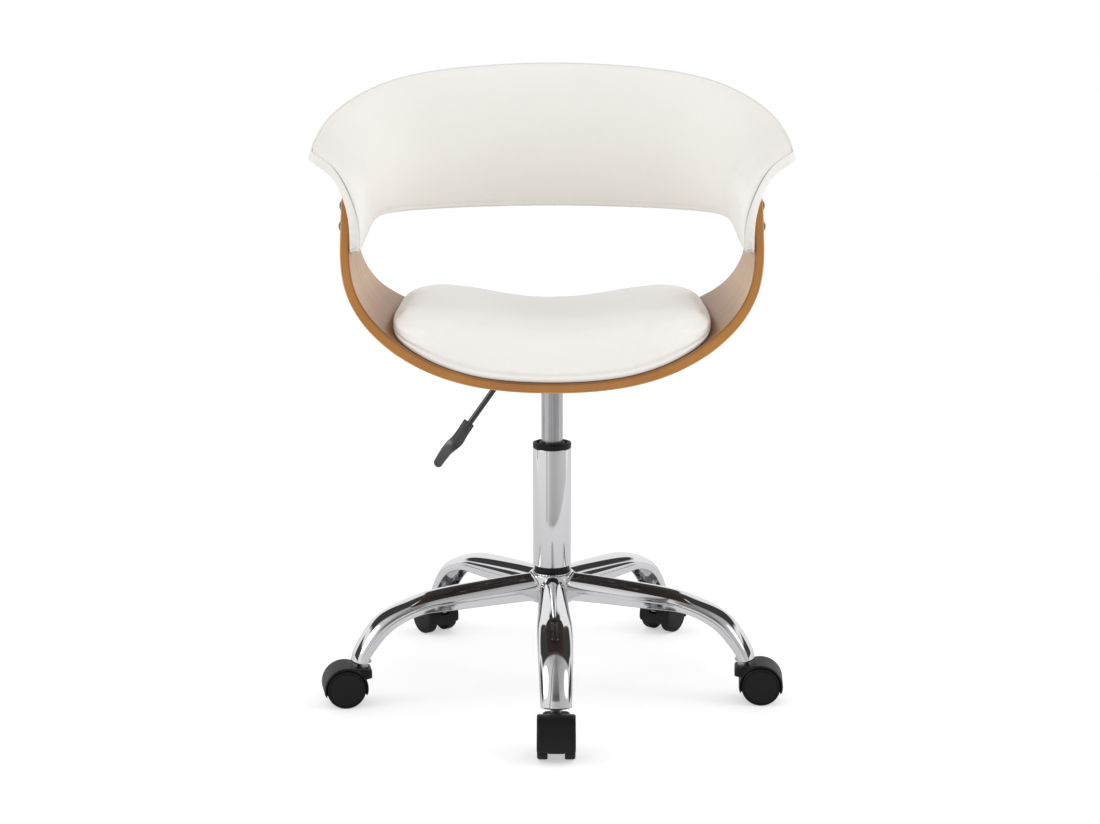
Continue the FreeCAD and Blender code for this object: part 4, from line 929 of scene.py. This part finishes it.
def leg_outline(q, grow, lo, crease=True):
    """Half-open profile of one leg section at length q: list of (lateral, radius, height)."""
    rt, zt, rb, zb, hw = float(TR(q)), float(TZ(q)), float(BR(q)), float(BZ(q)), float(LH(q)) - grow
    ux, uz = rt - rb, zt - zb
    H = math.hypot(ux, uz)
    ux, uz = ux / H, uz / H
    H -= grow
    side = H * 0.38
    pts = []
    for f in (0.0, 0.05, 0.12, 0.2, 0.3, 0.4, 0.5, 0.58, 0.66, 0.72, 0.77, 0.81, 0.84, 0.87, 0.90, 0.93, 0.965):
        u = lo + (side - lo) * f
        y = hw * (1 - 0.005 * f)
        pts.append((y, u))
    m = 30
    for k in range(1, m // 2 + 1):
        a = math.pi * k / m
        c = math.cos(a)
        pts.append((hw * (abs(c) ** 1.12 if c > 1e-9 else 0.0), side + (H - side) * math.sin(a) ** 1.05))
    if crease:
        fade = smooth01((q - 12.0) / 30.0) * smooth01((_lw[-1] - 25.0 - q) / 40.0)
        out = []
        for y, u in pts:
            g = 0.75 * math.exp(-((u / H - 0.37) / 0.028) ** 2) * float(fade)
            step = 0.35 * float(fade) * (1.0 if u / H < 0.37 else 0.0)
            out.append((y - g + step * 0.0, u))
        pts = out
    full = [(-y, u) for y, u in pts] + [(y, u) for y, u in pts[-2::-1]]
    return [(y, rb + ux * u, zb + uz * u) for y, u in full]


def leg_mesh():
    qs = np.concatenate([np.linspace(4.0, 20.0, 6), np.linspace(28, 130, 16), np.linspace(136, _lw[-1], 60)])
    verts, n_out = [], None
    for q in qs:
        outer = leg_outline(q, 0.0, 0.7)
        inner = leg_outline(q, LEG_T, 0.7, crease=False)
        o0, i0 = np.array(outer[0]), np.array(inner[0])
        o1, i1 = np.array(outer[-1]), np.array(inner[-1])
        down = np.array([0.0, float(BR(q) - TR(q)), float(BZ(q) - TZ(q))])
        down /= np.linalg.norm(down)

        def lip(a, b):
            c, h = (a + b) / 2, (a - b) / 2
            return [tuple(c + h * math.cos(t) + down * 0.9 * math.sin(t)) for t in (math.pi * k / 4 for k in (1, 2, 3))]
        loop = outer + lip(o1, i1) + inner[::-1] + lip(i0, o0)
        n_out = len(outer)
        for y, r, z in loop:
            start = math.sqrt(max(HUB_START ** 2 - y * y, 1.0))
            if r < 60.0:
                f = (r - float(TR(qs[0]))) / (60.0 - float(TR(qs[0])))
                r = start + max(f, 0.0) * (60.0 - start)
            verts.append((r, y, max(z, 56.92)))
    n = 2 * n_out + 6
    faces = grid_faces(len(qs), n, wrap_v=True)
    for base in (0, (len(qs) - 1) * n):
        for k in range(n_out - 1):
            faces.append((base + k, base + k + 1, base + 2 * n_out + 3 - 1 - k - 1, base + 2 * n_out + 3 - 1 - k))
        faces.append(tuple(base + j for j in (n_out - 1, n_out, n_out + 1, n_out + 2, n_out + 3)))
        faces.append(tuple(base + j for j in (0, n - 1, n - 2, n - 3, 2 * n_out + 2)))
    return verts, faces


def weld_bead(turn, name):
    """Ripple weld where the leg meets the hub."""
    sec = leg_outline(5.0, 0.0, 0.0, crease=False)
    path = []
    for y, r, z in sec:
        path.append((math.sqrt(max((HUB_R + 0.5) ** 2 - y * y, 1.0)), y, z))
    P = np.array(path)
    l = np.concatenate([[0], np.cumsum(np.linalg.norm(np.diff(P, axis=0), axis=1))])
    t = np.arange(0, l[-1], 0.55)
    P = np.stack([np.interp(t, l, P[:, a]) for a in range(3)], -1)
    for _ in range(4):
        P[1:-1] = (P[:-2] + 2 * P[1:-1] + P[2:]) / 4
    rad = 1.5 + 0.22 * np.sin(t * 2 * math.pi / 1.7) + np.array([0.25 * noise.noise((x / 4.0, turn, 0.0)) for x in t])
    c, s = math.cos(math.radians(turn)), math.sin(math.radians(turn))
    P = np.stack([P[:, 0] * c - P[:, 1] * s, P[:, 0] * s + P[:, 1] * c, P[:, 2]], -1)
    w = tube(name, P, rad, M["chrome_weld"], "base", seg=10)


_lv, _lf = leg_mesh()
leg_me = None
for _n, _ang in (("front", 0.0), ("front_left", -72.0), ("front_right", 72.0), ("rear_left", -144.0), ("rear_right", 144.0)):
    _turn = -90.0 + _ang + BASE_TURN
    if leg_me is None:
        ob = make("leg_%s_pressing" % _n, _lv, _lf, M["chrome"])
        leg_me = ob.data
    else:
        ob = bpy.data.objects.new("leg_%s_pressing" % _n, leg_me)
        scene.collection.objects.link(ob)
    ob.matrix_world = Matrix.Rotation(math.radians(_turn), 4, "Z")
    bpy.context.view_layer.update()
    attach(ob, "base")
    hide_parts("leg_" + _n)
    weld_bead(_turn, "leg_%s_weld" % _n)

# ----------------------------------------------------------------- hub and column
hub = lathe("hub_tube", [(19.6, 114.0), (29.0, 114.0), (29.0, 151.0), (20.7, 151.0)], M["chrome"], "base", r=1.1, seg=128)
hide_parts("hub")
for _z, _nm in ((151.6, "hub_top_weld"), (113.9, "hub_bottom_weld")):
    _a = np.linspace(0, 2 * math.pi, 240, endpoint=False)
    _rad = 1.15 + 0.16 * np.sin(_a * 44) + np.array([0.2 * noise.noise((math.cos(a) * 4, math.sin(a) * 4, _z)) for a in _a])
    _rr = 24.6 if _z > 150 else 21.4
    ob = tube(_nm, np.stack([_rr * np.cos(_a), _rr * np.sin(_a), np.full_like(_a, _z)], -1), _rad, M["chrome_weld"], "base", seg=10, closed=True)
cap = lathe("hub_cap_collar", [(21.0, 151.0), (23.0, 151.0), (23.0, 160.5), (21.0, 160.5)], M["plastic"], "base", r=0.7, seg=128)
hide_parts("hub_cap_ring")
tube_ob = lathe("column_tube", [(5.3, 112.0), (19.45, 112.0), (19.45, 114.0), (20.55, 151.0), (20.55, 161.0), (25.0, 161.0), (25.0, 318.0),
                                (23.05, 318.0), (23.05, 166.0), (17.0, 163.0), (17.0, 116.0), (5.3, 116.0)], M["chrome"], "base",
                r=[0.3, 0.6, 0, 0, 0, 1.6, 0.7, 0.7, 0, 0, 0, 0.3], seg=160)
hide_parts("stand_tube")
bush = lathe("column_bushing", [(14.06, 240.0), (22.95, 240.0), (22.95, 318.05), (25.0, 318.05), (25.0, 324.6), (21.2, 325.4),
                                (19.6, 323.6), (17.4, 323.6), (16.6, 325.0), (14.06, 325.0)], M["plastic"], "base",
             r=[0.3, 0.5, 0, 0.4, 0.8, 0.6, 0.5, 0.5, 0.5, 0.5], seg=160)
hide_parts("tube_bushing")
for _k in range(16):
    _a = 2 * math.pi * (_k + 0.5) / 16
    _p = [(17.2 * math.cos(_a), 17.2 * math.sin(_a), 324.0), (20.2 * math.cos(_a), 20.2 * math.sin(_a), 324.3)]
    ob = tube("column_bushing_rib_%02d" % _k, [np.array(_p[0]) * (1 - f) + np.array(_p[1]) * f for f in np.linspace(0, 1, 5)],
              [0.4, 0.75, 0.8, 0.75, 0.4], M["plastic"], "base", seg=8)
gas = lathe("gas_spring_cylinder", [(12.05, 226.0), (14.0, 226.0), (14.0, 394.0), (13.4, 412.6), (4.6, 412.6), (4.6, 402.0), (0.0, 402.0),
                                    (0.0, 388.0), (12.05, 388.0)], M["satin"], "seat", r=[0.3, 0.8, 0, 0.6, 0, 0, 0, 0, 0], seg=160)
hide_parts("gas_cylinder")

# ----------------------------------------------------------------- casters
def caster_hood():
    """One hood in the caster's own axes: stem on Z, axle towards +X."""
    ax, az = TRAIL, WHEEL_R
    parts = []
    # mudguard: an arc over both wheels, its section rounded at both shoulders
    a0, a1 = math.radians(-19.0), math.radians(199.0)
    sec = []
    hw, ro, ri = HOOD_HALF, HOOD_R, HOOD_IN_R + 0.1
    for k in range(9):
        t = math.pi / 2 * k / 8
        sec.append((-hw + 4.2 * (1 - math.cos(t)), ro - 1.9 * (1 - math.sin(t))))
    sec += [(y, ro) for y in np.linspace(-hw + 7, hw - 7, 9)]
    for k in range(8, -1, -1):
        t = math.pi / 2 * k / 8
        sec.append((hw - 4.2 * (1 - math.cos(t)), ro - 1.9 * (1 - math.sin(t))))
    sec += [(hw - 0.4, ri)] + [(y, ri) for y in np.linspace(hw - 3, -hw + 3, 7)] + [(-hw + 0.4, ri)]
    n = len(sec)
    verts, m = [], 90
    for i in range(m + 1):
        f = i / m
        a = a0 + (a1 - a0) * f
        edge = min(f, 1 - f) * m / 3.0
        pinch = 1.0 if edge >= 1 else 0.18 + 0.82 * math.sqrt(max(0.0, 1 - (1 - edge) ** 2))
        for y, r in sec:
            r = ri + (r - ri) * pinch
            verts.append((ax + r * math.cos(a), y, az + r * math.sin(a)))
    faces = grid_faces(m + 1, n, wrap_v=True) + [tuple(range(n))[::-1], tuple(m * n + k for k in range(n))]
    parts.append((verts, faces))
    # web between the wheels: a disc cut off below
    verts, k0 = [], []
    zc = 14.5
    a_cut = math.asin((zc - az) / (HOOD_R - 0.4))
    arc = [(ax + (HOOD_R - 0.4) * math.cos(t), az + (HOOD_R - 0.4) * math.sin(t)) for t in np.linspace(a_cut, math.pi - a_cut, 60)]
    n = len(arc)
    for y in (-WEB_HALF, WEB_HALF):
        verts += [(x, y, z) for x, z in arc]
    faces = [(k, k + 1, n + k + 1, n + k) for k in range(n - 1)] + [(n - 1, 0, n, 2 * n - 1), tuple(range(n))[::-1], tuple(n + k for k in range(n))]
    parts.append((verts, faces))
    # neck round the stem
    poly = fillet([(-11.0, -16.8), (15.0, -16.8), (15.0, 16.8), (-11.0, 16.8)], [7.0, 1.0, 1.0, 7.0], 8)
    n = len(poly)
    verts = []
    for z, g in ((36.0, 0.0), (44.6, 0.0), (46.4, -0.7), (47.2, -1.8), (47.5, -3.0)):
        c = np.array([2.0, 0.0])
        for x, y in poly:
            d = np.array([x, y]) - c
            l = np.linalg.norm(d)
            verts.append((*(c + d * (l + g) / l), z))
    faces = grid_faces(5, n, wrap_v=True) + [tuple(range(n))[::-1], tuple(4 * n + k for k in range(n))]
    parts.append((verts, faces))
    obs = [make("hood_part_%d" % i, v, f, M["plastic"]) for i, (v, f) in enumerate(parts)]
    base = obs[0]
    for o in obs[1:]:
        mod = base.modifiers.new("join", "BOOLEAN")
        mod.operation, mod.solver, mod.object = "UNION", "EXACT", o
    # wheel spaces and the stem hole
    cut = []
    for sg in (-1, 1):
        y0, y1 = sorted((sg * (WEB_HALF + 0.0), sg * 40.0))
        cut.append(lathe("cut", [(0.0, y0), (HOOD_IN_R, y0), (HOOD_IN_R, y1), (0.0, y1)], M["plastic"], None, seg=128, r=0, origin=(ax, 0, az), axis="Y"))
    cut.append(lathe("cut", [(0.0, 30.0), (7.2, 30.0), (7.2, 60.0), (0.0, 60.0)], M["plastic"], None, seg=48, r=0))
    for o in cut:
        mod = base.modifiers.new("cut", "BOOLEAN")
        mod.operation, mod.solver, mod.object = "DIFFERENCE", "EXACT", o
    dg = bpy.context.evaluated_depsgraph_get()
    me = bpy.data.meshes.new_from_object(base.evaluated_get(dg))
    for o in obs + cut:
        bpy.data.objects.remove(o)
    tmp = bpy.data.objects.new("hood_tmp", me)
    scene.collection.objects.link(tmp)
    mod = tmp.modifiers.new("remesh", "REMESH")
    mod.mode, mod.voxel_size, mod.use_smooth_shade = "VOXEL", 0.00045, True
    mod = tmp.modifiers.new("smooth", "CORRECTIVE_SMOOTH")
    mod.factor, mod.iterations, mod.use_only_smooth = 0.5, 6, True
    mod = tmp.modifiers.new("decimate", "DECIMATE")
    mod.ratio = 0.22
    dg = bpy.context.evaluated_depsgraph_get()
    out = bpy.data.meshes.new_from_object(tmp.evaluated_get(dg))
    bpy.data.objects.remove(tmp)
    out.name = "caster_hood"
    out.polygons.foreach_set("use_smooth", np.full(len(out.polygons), True))
    if not out.materials:
        out.materials.append(M["plastic"])
    return out


def caster_wheel(sg):
    y0 = WEB_HALF + 0.4
    y1 = y0 + WHEEL_W
    prof = [(4.06, y0), (8.0, y0), (8.0, y0 + 5.8), (20.0, y0 + 5.8), (20.0, y0), (24.0, y0), (25.0, y0 + 1.0), (25.0, y1 - 2.6),
            (24.2, y1 - 0.7), (23.3, y1 - 0.05), (22.4, y1 - 0.15), (22.0, y1 - 0.95), (21.4, y1 - 0.95), (21.0, y1 - 0.15),
            (12.0, y1 + 0.0), (5.0, y1 + 0.0), (0.0, y1 + 0.0), (0.0, y1 - 1.8), (4.06, y1 - 1.8)]
    prof = [(r, h * sg) for r, h in prof]
    rr = [0.2, 0.3, 0.6, 0.6, 0.3, 0.3, 0.5, 0.8, 0.6, 0.4, 0.3, 0.2, 0.2, 0.3, 0, 0, 0, 0, 0]
    return lathe("caster_wheel", prof, M["wheel"], None, seg=144, r=rr, origin=(TRAIL, 0, WHEEL_R), axis="Y")


hood_me = caster_hood()
wheel_me = {}
for _t, _s in (("a", -1), ("b", 1)):
    _o = caster_wheel(_s)
    wheel_me[_t] = _o.data
    bpy.data.objects.remove(_o)
CASTERS = {"front": (0.0, -90.0), "front_left": (-72.0, 192.0), "front_right": (72.0, -5.0), "rear_left": (-144.0, 126.0),
           "rear_right": (144.0, 54.0)}
for _n, (_ang, _head) in CASTERS.items():
    _x, _y = (f(math.radians(_ang + BASE_TURN)) * STEM_CIRCLE * MM for f in (math.sin, lambda a: -math.cos(a)))
    _m = Matrix.Translation((_x, _y, 0)) @ Matrix.Rotation(math.radians(_head), 4, "Z")
    for _part, _me, _body, _slot in (("hood", hood_me, "fork", "black_plastic"), ("wheel_a", wheel_me["a"], "roller_a", "wheel_plastic"),
                                     ("wheel_b", wheel_me["b"], "roller_b", "wheel_plastic")):
        ob = bpy.data.objects.new("caster_%s_%s_moulding" % (_n, _part), _me)
        scene.collection.objects.link(ob)
        ob.matrix_world = _m
        bpy.context.view_layer.update()
        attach(ob, "caster_%s_%s" % (_n, _body))
        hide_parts("caster_%s_%s" % (_n, _part))

# ----------------------------------------------------------------- lever
_dx, _dz = -math.cos(LEVER_ANGLE), -math.sin(LEVER_ANGLE)
_bend = 20.0
_tl = _bend * math.tan(LEVER_ANGLE / 2)
_a1 = np.array([-55.5 + _tl, 0, PIVOT_Z])
_cc = np.array([_a1[0], 0, PIVOT_Z - _bend])
_a2 = np.array([-55.5 + _dx * _tl, 0, PIVOT_Z + _dz * _tl])
_a3 = _a2 + np.array([_dx, 0, _dz]) * 104.0
_path = [np.array([6.0 + (_a1[0] - 6.0) * f, 0, PIVOT_Z]) for f in np.linspace(0, 1, 10)]
_path += [_cc + _bend * np.array([-math.sin(a), 0, math.cos(a)]) for a in np.linspace(0, LEVER_ANGLE, 14)[1:]]
_path += [_a2 + (_a3 - _a2) * f for f in np.linspace(0, 1, 12)[1:]]
rod = tube("lever_bar", _path, LEVER_R, M["powder"], "lever", seg=40)
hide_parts("lever_rod")

_h0 = _a3 - np.array([_dx, 0, _dz]) * 24.0
_side = np.array([-_dz, 0, _dx])
_axis = np.array([_dx, 0, _dz])
# length, half width to the left and to the right of the bar, half thickness, place of the ridge across the width
HT = [(0.0, 9.0, 7.1, 6.0, -5.4), (10, 8.5, 7.4, 6.3, -4.7), (20, 8.3, 8.0, 6.8, -3.8), (28.5, 8.8, 8.8, 7.2, -2.9), (33, 9.6, 8.2, 7.2, -2.2),
      (38, 10.8, 6.7, 7.0, -1.2), (43, 11.2, 5.2, 6.6, 0.8), (47.4, 11.2, 4.0, 6.2, 1.6), (54, 10.9, 3.4, 5.6, 1.9), (60.6, 10.4, 3.0, 5.0, 1.6),
      (66, 9.8, 3.0, 4.5, 1.2), (70, 9.2, 3.0, 4.0, 0.8), (73.0, 8.6, 2.8, 3.6, 0.4)]
_hu = [h[0] for h in HT]
HL, HR, HTHK, HRID = (cubic(_hu, [h[i] for h in HT]) for i in (1, 2, 3, 4))
verts = []
_us = np.concatenate([[0, 0.12, 0.4, 0.9], np.linspace(2, 68, 54), [69.0, 70.0, 71.0, 71.8, 72.4, 72.8, 73.0]])
NH = 84
for u in _us:
    wl, wr, thk, rid = float(HL(u)), float(HR(u)), float(HTHK(u)), float(HRID(u))
    cap = 1.0
    if u < 0.9:
        cap = 0.90 + 0.10 * math.sqrt(max(0.0, 1 - (1 - u / 0.9) ** 2))
    if u > 68.0:
        cap = math.sqrt(max(0.0, 1 - ((u - 68.0) / 5.03) ** 2))
    c = _h0 + _axis * (u - 2.0)
    mid = (wr - wl) / 2
    hw = (wl + wr) / 2 * max(cap, 0.08)
    th = thk * max(cap, 0.10)
    rid = max(min(rid * cap, mid + 0.8 * hw), mid - 0.8 * hw)
    # corners of the section: left, ridge towards the front, right, back right, back left
    poly = [(mid - hw, th * 0.05), (rid, -th), (mid + hw, th * 0.05), (mid + hw * 0.72, th * 0.86), (mid - hw * 0.72, th * 0.86)]
    poly = fillet([(float(x), float(y)) for x, y in poly], [th * 0.18, th * 0.06, th * 0.18, th * 0.5, th * 0.5], 5)
    P2 = np.array(poly + [poly[0]])
    l2 = np.concatenate([[0], np.cumsum(np.linalg.norm(np.diff(P2, axis=0), axis=1))])
    key = np.array([0, 6, 12, 18, 24, 30]) * len(l2[:-1]) // 30
    for k in range(NH):
        f = k / NH * 5
        i0 = int(f)
        lo_i, hi_i = min(i0 * 6, len(l2) - 1), min(i0 * 6 + 6, len(l2) - 1)
        l = l2[lo_i] + (l2[hi_i] - l2[lo_i]) * (f - i0)
        x, y = np.interp(l, l2, P2[:, 0]), np.interp(l, l2, P2[:, 1])
        verts.append(c + _side * x + np.array([0, 1.0, 0]) * y)
faces = grid_faces(len(_us), NH, wrap_v=True) + [tuple(range(NH))[::-1], tuple((len(_us) - 1) * NH + k for k in range(NH))]
handle = make("lever_paddle", verts, faces, M["grip"], "lever")
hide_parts("lever_handle")

# ----------------------------------------------------------------- arm screws
def screw_mesh(sx, y, z, name):
    face = 247.4 + SHELL_T + 0.08
    rows = []
    hexr = lambda a: 2.35 * math.cos(math.radians(30)) / math.cos((a % math.radians(60)) - math.radians(30))
    dome = lambda r: 4.2 - 9.2 + math.sqrt(9.2 ** 2 - r * r)
    rows.append((0.0, 2.2, False))
    rows.append((0.97, 2.2, True))
    rows.append((1.0, 2.35, True))
    rows.append((1.0, dome(2.3) - 0.15, True))
    rows.append((1.09, dome(2.5), True))
    for r in (3.1, 3.7, 4.4, 5.1, 5.8, 6.3, 6.65):
        rows.append((r, dome(r) - (0.0 if r < 6 else 0.03), False))
    rows += [(6.93, 0.85, False), (7.0, 0.6, False), (7.0, 0.05, False), (6.9, 0.0, False), (3.3, 0.0, False), (3.0, -0.3, False), (3.0, -21.4, False),
             (0.0, -21.4, False)]
    verts, seg = [], 72
    for k in range(seg):
        a = 2 * math.pi * k / seg
        for r, h, hx in rows:
            rr = r * hexr(a) if hx else r
            verts.append((sx * (face + h), y + rr * math.cos(a), z + rr * math.sin(a)))
    return verts, grid_faces(seg, len(rows), wrap_u=True)


verts, faces = [], []
for sx in (-1, 1):
    for y, z in ARM_SCREWS:
        v, f = screw_mesh(sx, y, z, "")
        faces += [tuple(len(verts) + i for i in q) for q in f]
        verts += v
screws = make("arm_screw_heads", verts, faces, M["nickel"], "seat")
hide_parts("arm_screws")

# ----------------------------------------------------------------- CAD pieces that stay
NODE_MATS = {"seat_plate": "powder", "mount_spacers": "plastic", "seat_bolts": "zinc", "tee_nuts": "zinc", "cushion_base": "raw_ply",
             "back_plywood": "raw_ply", "arm_inserts": "zinc", "lever_pivot_pin": "hardened", "piston_rod": "hardened", "piston": "plastic",
             "bump_stop": "rubber", "thrust_washer": "hardened", "thrust_balls": "hardened", "retaining_clip": "hardened",
             "stem_sockets": "zinc", "cylinder_gland": "plastic", "release_button": "plastic"}
for name, ob in NODES.items():
    key = NODE_MATS.get(name)
    if key is None and name.endswith("_stem"):
        key = "zinc"
    if key is None and name.endswith("_axle"):
        key = "hardened"
    if key and ob.type == "MESH":
        if not ob.material_slots:
            ob.data.materials.append(M[key])
        for sl in ob.material_slots:
            sl.material = M[key]

# ----------------------------------------------------------------- studio
def floor_mat():
    m, nt, b = new_mat("studio_floor")
    v = coords(nt)
    n = tex_noise(nt, v, 3.0, 3.0)
    col = mixc(nt, n, (0.63, 0.63, 0.63), (0.65, 0.65, 0.65))
    put(nt, b, Base_Color=col, Roughness=0.85, Specular_IOR_Level=0.1)
    b.inputs["Emission Color"].default_value = (1, 1, 1, 1)
    b.inputs["Emission Strength"].default_value = 0.46
    dim = nd(nt, "ShaderNodeBsdfDiffuse", {"Color": (0.70, 0.70, 0.71, 1), "Roughness": 0.0})
    mix = nd(nt, "ShaderNodeMixShader", {0: nd(nt, "ShaderNodeLightPath").outputs["Is Glossy Ray"], 1: b.outputs[0], 2: dim.outputs[0]})
    out = [x for x in nt.nodes if x.type == "OUTPUT_MATERIAL"][0]
    nt.links.new(mix.outputs[0], out.inputs[0])
    return m


me = bpy.data.meshes.new("floor")
_fa = [2 * math.pi * k / 96 for k in range(96)]
me.from_pydata([(2.6 * math.cos(a), 1.9 + 2.6 * math.sin(a), 0) for a in _fa], [], [tuple(range(96))])
me.materials.append(floor_mat())
floor = bpy.data.objects.new("floor", me)
scene.collection.objects.link(floor)

world = bpy.data.worlds.new("studio")
scene.world = world
world.use_nodes = True
nt = world.node_tree
nt.nodes.clear()
w_out = nt.nodes.new("ShaderNodeOutputWorld")
dirv = nd(nt, "ShaderNodeTexCoord").outputs["Generated"]
sep = nd(nt, "ShaderNodeSeparateXYZ", {0: dirv})
height = sep.outputs[2]
flat_len = mth(nt, "SQRT", mth(nt, "SUBTRACT", 1.0, mth(nt, "MULTIPLY", height, height), clamp=True))
az = mth(nt, "DIVIDE", sep.outputs[0], mth(nt, "MAXIMUM", flat_len, 0.05))
side = mth(nt, "ADD", mth(nt, "MULTIPLY", az, 0.5), 0.5)
# what polished metal sees: light walls, a dark ceiling that starts lower behind, a greyer front with dark flags
half = mth(nt, "ADD", mth(nt, "MULTIPLY", height, 0.5), 0.5)
lift = mth(nt, "SUBTRACT", ramp(nt, mth(nt, "ABSOLUTE", az), [(0.0, 0.10), (0.24, 0.10), (0.32, 0.0), (0.46, 0.0), (0.54, 0.15), (0.86, 0.15), (0.95, 0.10)]), 0.10)
up_back = ramp(nt, mth(nt, "ADD", half, lift), [(0.0, 0.30), (0.36, 0.50), (0.44, 1.0), (0.725, 1.0), (0.765, 0.05), (1.0, 0.05)])
up_front = ramp(nt, half, [(0.0, 0.35), (0.28, 0.50), (0.375, 0.92), (0.45, 1.0), (0.74, 1.0), (0.80, 0.86), (0.92, 0.74), (0.97, 0.55), (1.0, 0.50)])
sector = ramp(nt, side, [(0.0, 0.92), (0.23, 0.92), (0.235, 0.14), (0.255, 0.14), (0.26, 0.92), (0.30, 0.85), (0.38, 0.62), (0.50, 0.54), (0.62, 0.52),
                         (0.80, 0.58), (1.0, 0.68)])
gap = ramp(nt, mth(nt, "ABSOLUTE", az), [(0.0, 1.0), (0.30, 0.95), (0.46, 0.0)], "EASE")
gap_tone = ramp(nt, half, [(0.64, 1.0), (0.68, 0.26), (0.75, 0.22), (0.86, 0.55), (0.95, 0.85)])
front_tone = mth(nt, "MULTIPLY", mth(nt, "MULTIPLY", up_front, sector), mixc(nt, gap, (1.0, 1.0, 1.0), gap_tone))
is_front = ramp(nt, mth(nt, "ADD", mth(nt, "MULTIPLY", sep.outputs[1], 0.5), 0.5), [(0.48, 1.0), (0.52, 0.0)])
gloss_tone = mixc(nt, is_front, up_back, front_tone)
# narrow dark panels low on both sides
back_forth = mth(nt, "ADD", mth(nt, "MULTIPLY", sep.outputs[1], 0.5), 0.5)
flag = mth(nt, "MULTIPLY", ramp(nt, half, [(0.505, 0.0), (0.515, 1.0), (0.655, 1.0), (0.675, 0.0)]), ramp(nt, back_forth, [(0.385, 0.0), (0.40, 1.0), (0.70, 1.0), (0.73, 0.0)]))
gloss_tone = mixc(nt, flag, gloss_tone, (0.06, 0.06, 0.06))
lamp_dir = Vector((-0.80, -0.34, 0.50)).normalized()
lamp = ramp(nt, nd(nt, "ShaderNodeVectorMath", {0: dirv, 1: tuple(lamp_dir)}, operation="DOT_PRODUCT").outputs["Value"], [(0.955, 0.0), (0.975, 1.0)], "EASE")
lamp_dir = Vector((0.80, -0.36, 0.48)).normalized()
lamp_2 = ramp(nt, nd(nt, "ShaderNodeVectorMath", {0: dirv, 1: tuple(lamp_dir)}, operation="DOT_PRODUCT").outputs["Value"], [(0.965, 0.0), (0.98, 1.0)], "EASE")
gloss_tone = mixc(nt, 1.0, gloss_tone, mixc(nt, lamp, (0.0, 0.0, 0.0), (3.2, 3.2, 3.2)), "ADD")
gloss_tone = mixc(nt, 1.0, gloss_tone, mixc(nt, lamp_2, (0.0, 0.0, 0.0), (0.9, 0.9, 0.9)), "ADD")
bg_gloss = nd(nt, "ShaderNodeBackground", {"Color": gloss_tone, "Strength": 0.95})
# soft light for everything else: brighter from both sides, a little less from above
wide = ramp(nt, mth(nt, "ABSOLUTE", sep.outputs[0]), [(0.0, 0.32), (0.35, 0.39), (1.0, 0.66)])
soft_tone = mth(nt, "ADD", wide, ramp(nt, half, [(0.0, 0.52), (0.5, 0.50), (1.0, 0.42)]))
bg_soft = nd(nt, "ShaderNodeBackground", {"Color": soft_tone, "Strength": 1.125})
bg_cam = nd(nt, "ShaderNodeBackground", {"Color": (1, 1, 1, 1), "Strength": 1.0})
path = nd(nt, "ShaderNodeLightPath")
mixg = nd(nt, "ShaderNodeMixShader", {0: path.outputs["Is Glossy Ray"], 1: bg_soft.outputs[0], 2: bg_gloss.outputs[0]})
mixs = nd(nt, "ShaderNodeMixShader", {0: path.outputs["Is Camera Ray"], 1: mixg.outputs[0], 2: bg_cam.outputs[0]})
nt.links.new(mixs.outputs[0], w_out.inputs[0])


def softbox(name, loc, target, size, power, spread=180.0):
    l = bpy.data.lights.new(name, "AREA")
    l.shape, l.size, l.size_y, l.energy = "RECTANGLE", size[0], size[1], power
    l.spread = math.radians(spread)
    o = bpy.data.objects.new(name, l)
    o.location = loc
    o.rotation_euler = (Vector(target) - Vector(loc)).to_track_quat("-Z", "Y").to_euler()
    o.visible_glossy = False
    scene.collection.objects.link(o)
    return o


softbox("key_left", (-2.9, -0.6, 1.9), (0, 0, 0.5), (1.3, 1.3), 14)
softbox("key_right", (2.9, -0.6, 1.8), (0, 0, 0.5), (1.3, 1.3), 21)

scene.view_settings.view_transform = "Standard"
scene.view_settings.look = "None"
scene.view_settings.exposure = 0.0
scene.view_settings.gamma = 1.0

cam = bpy.data.cameras.new("camera")
cam.lens, cam.sensor_width, cam.sensor_fit = 63.39, 36.0, "HORIZONTAL"
cam.clip_start, cam.clip_end = 0.05, 60.0
cam_ob = bpy.data.objects.new("camera", cam)
cam_ob.location = (0.0028, -2.4604, 0.8444)
cam_ob.rotation_euler = (math.radians(90 - 11.04), 0.0, math.radians(0.127))
scene.collection.objects.link(cam_ob)
scene.camera = cam_ob
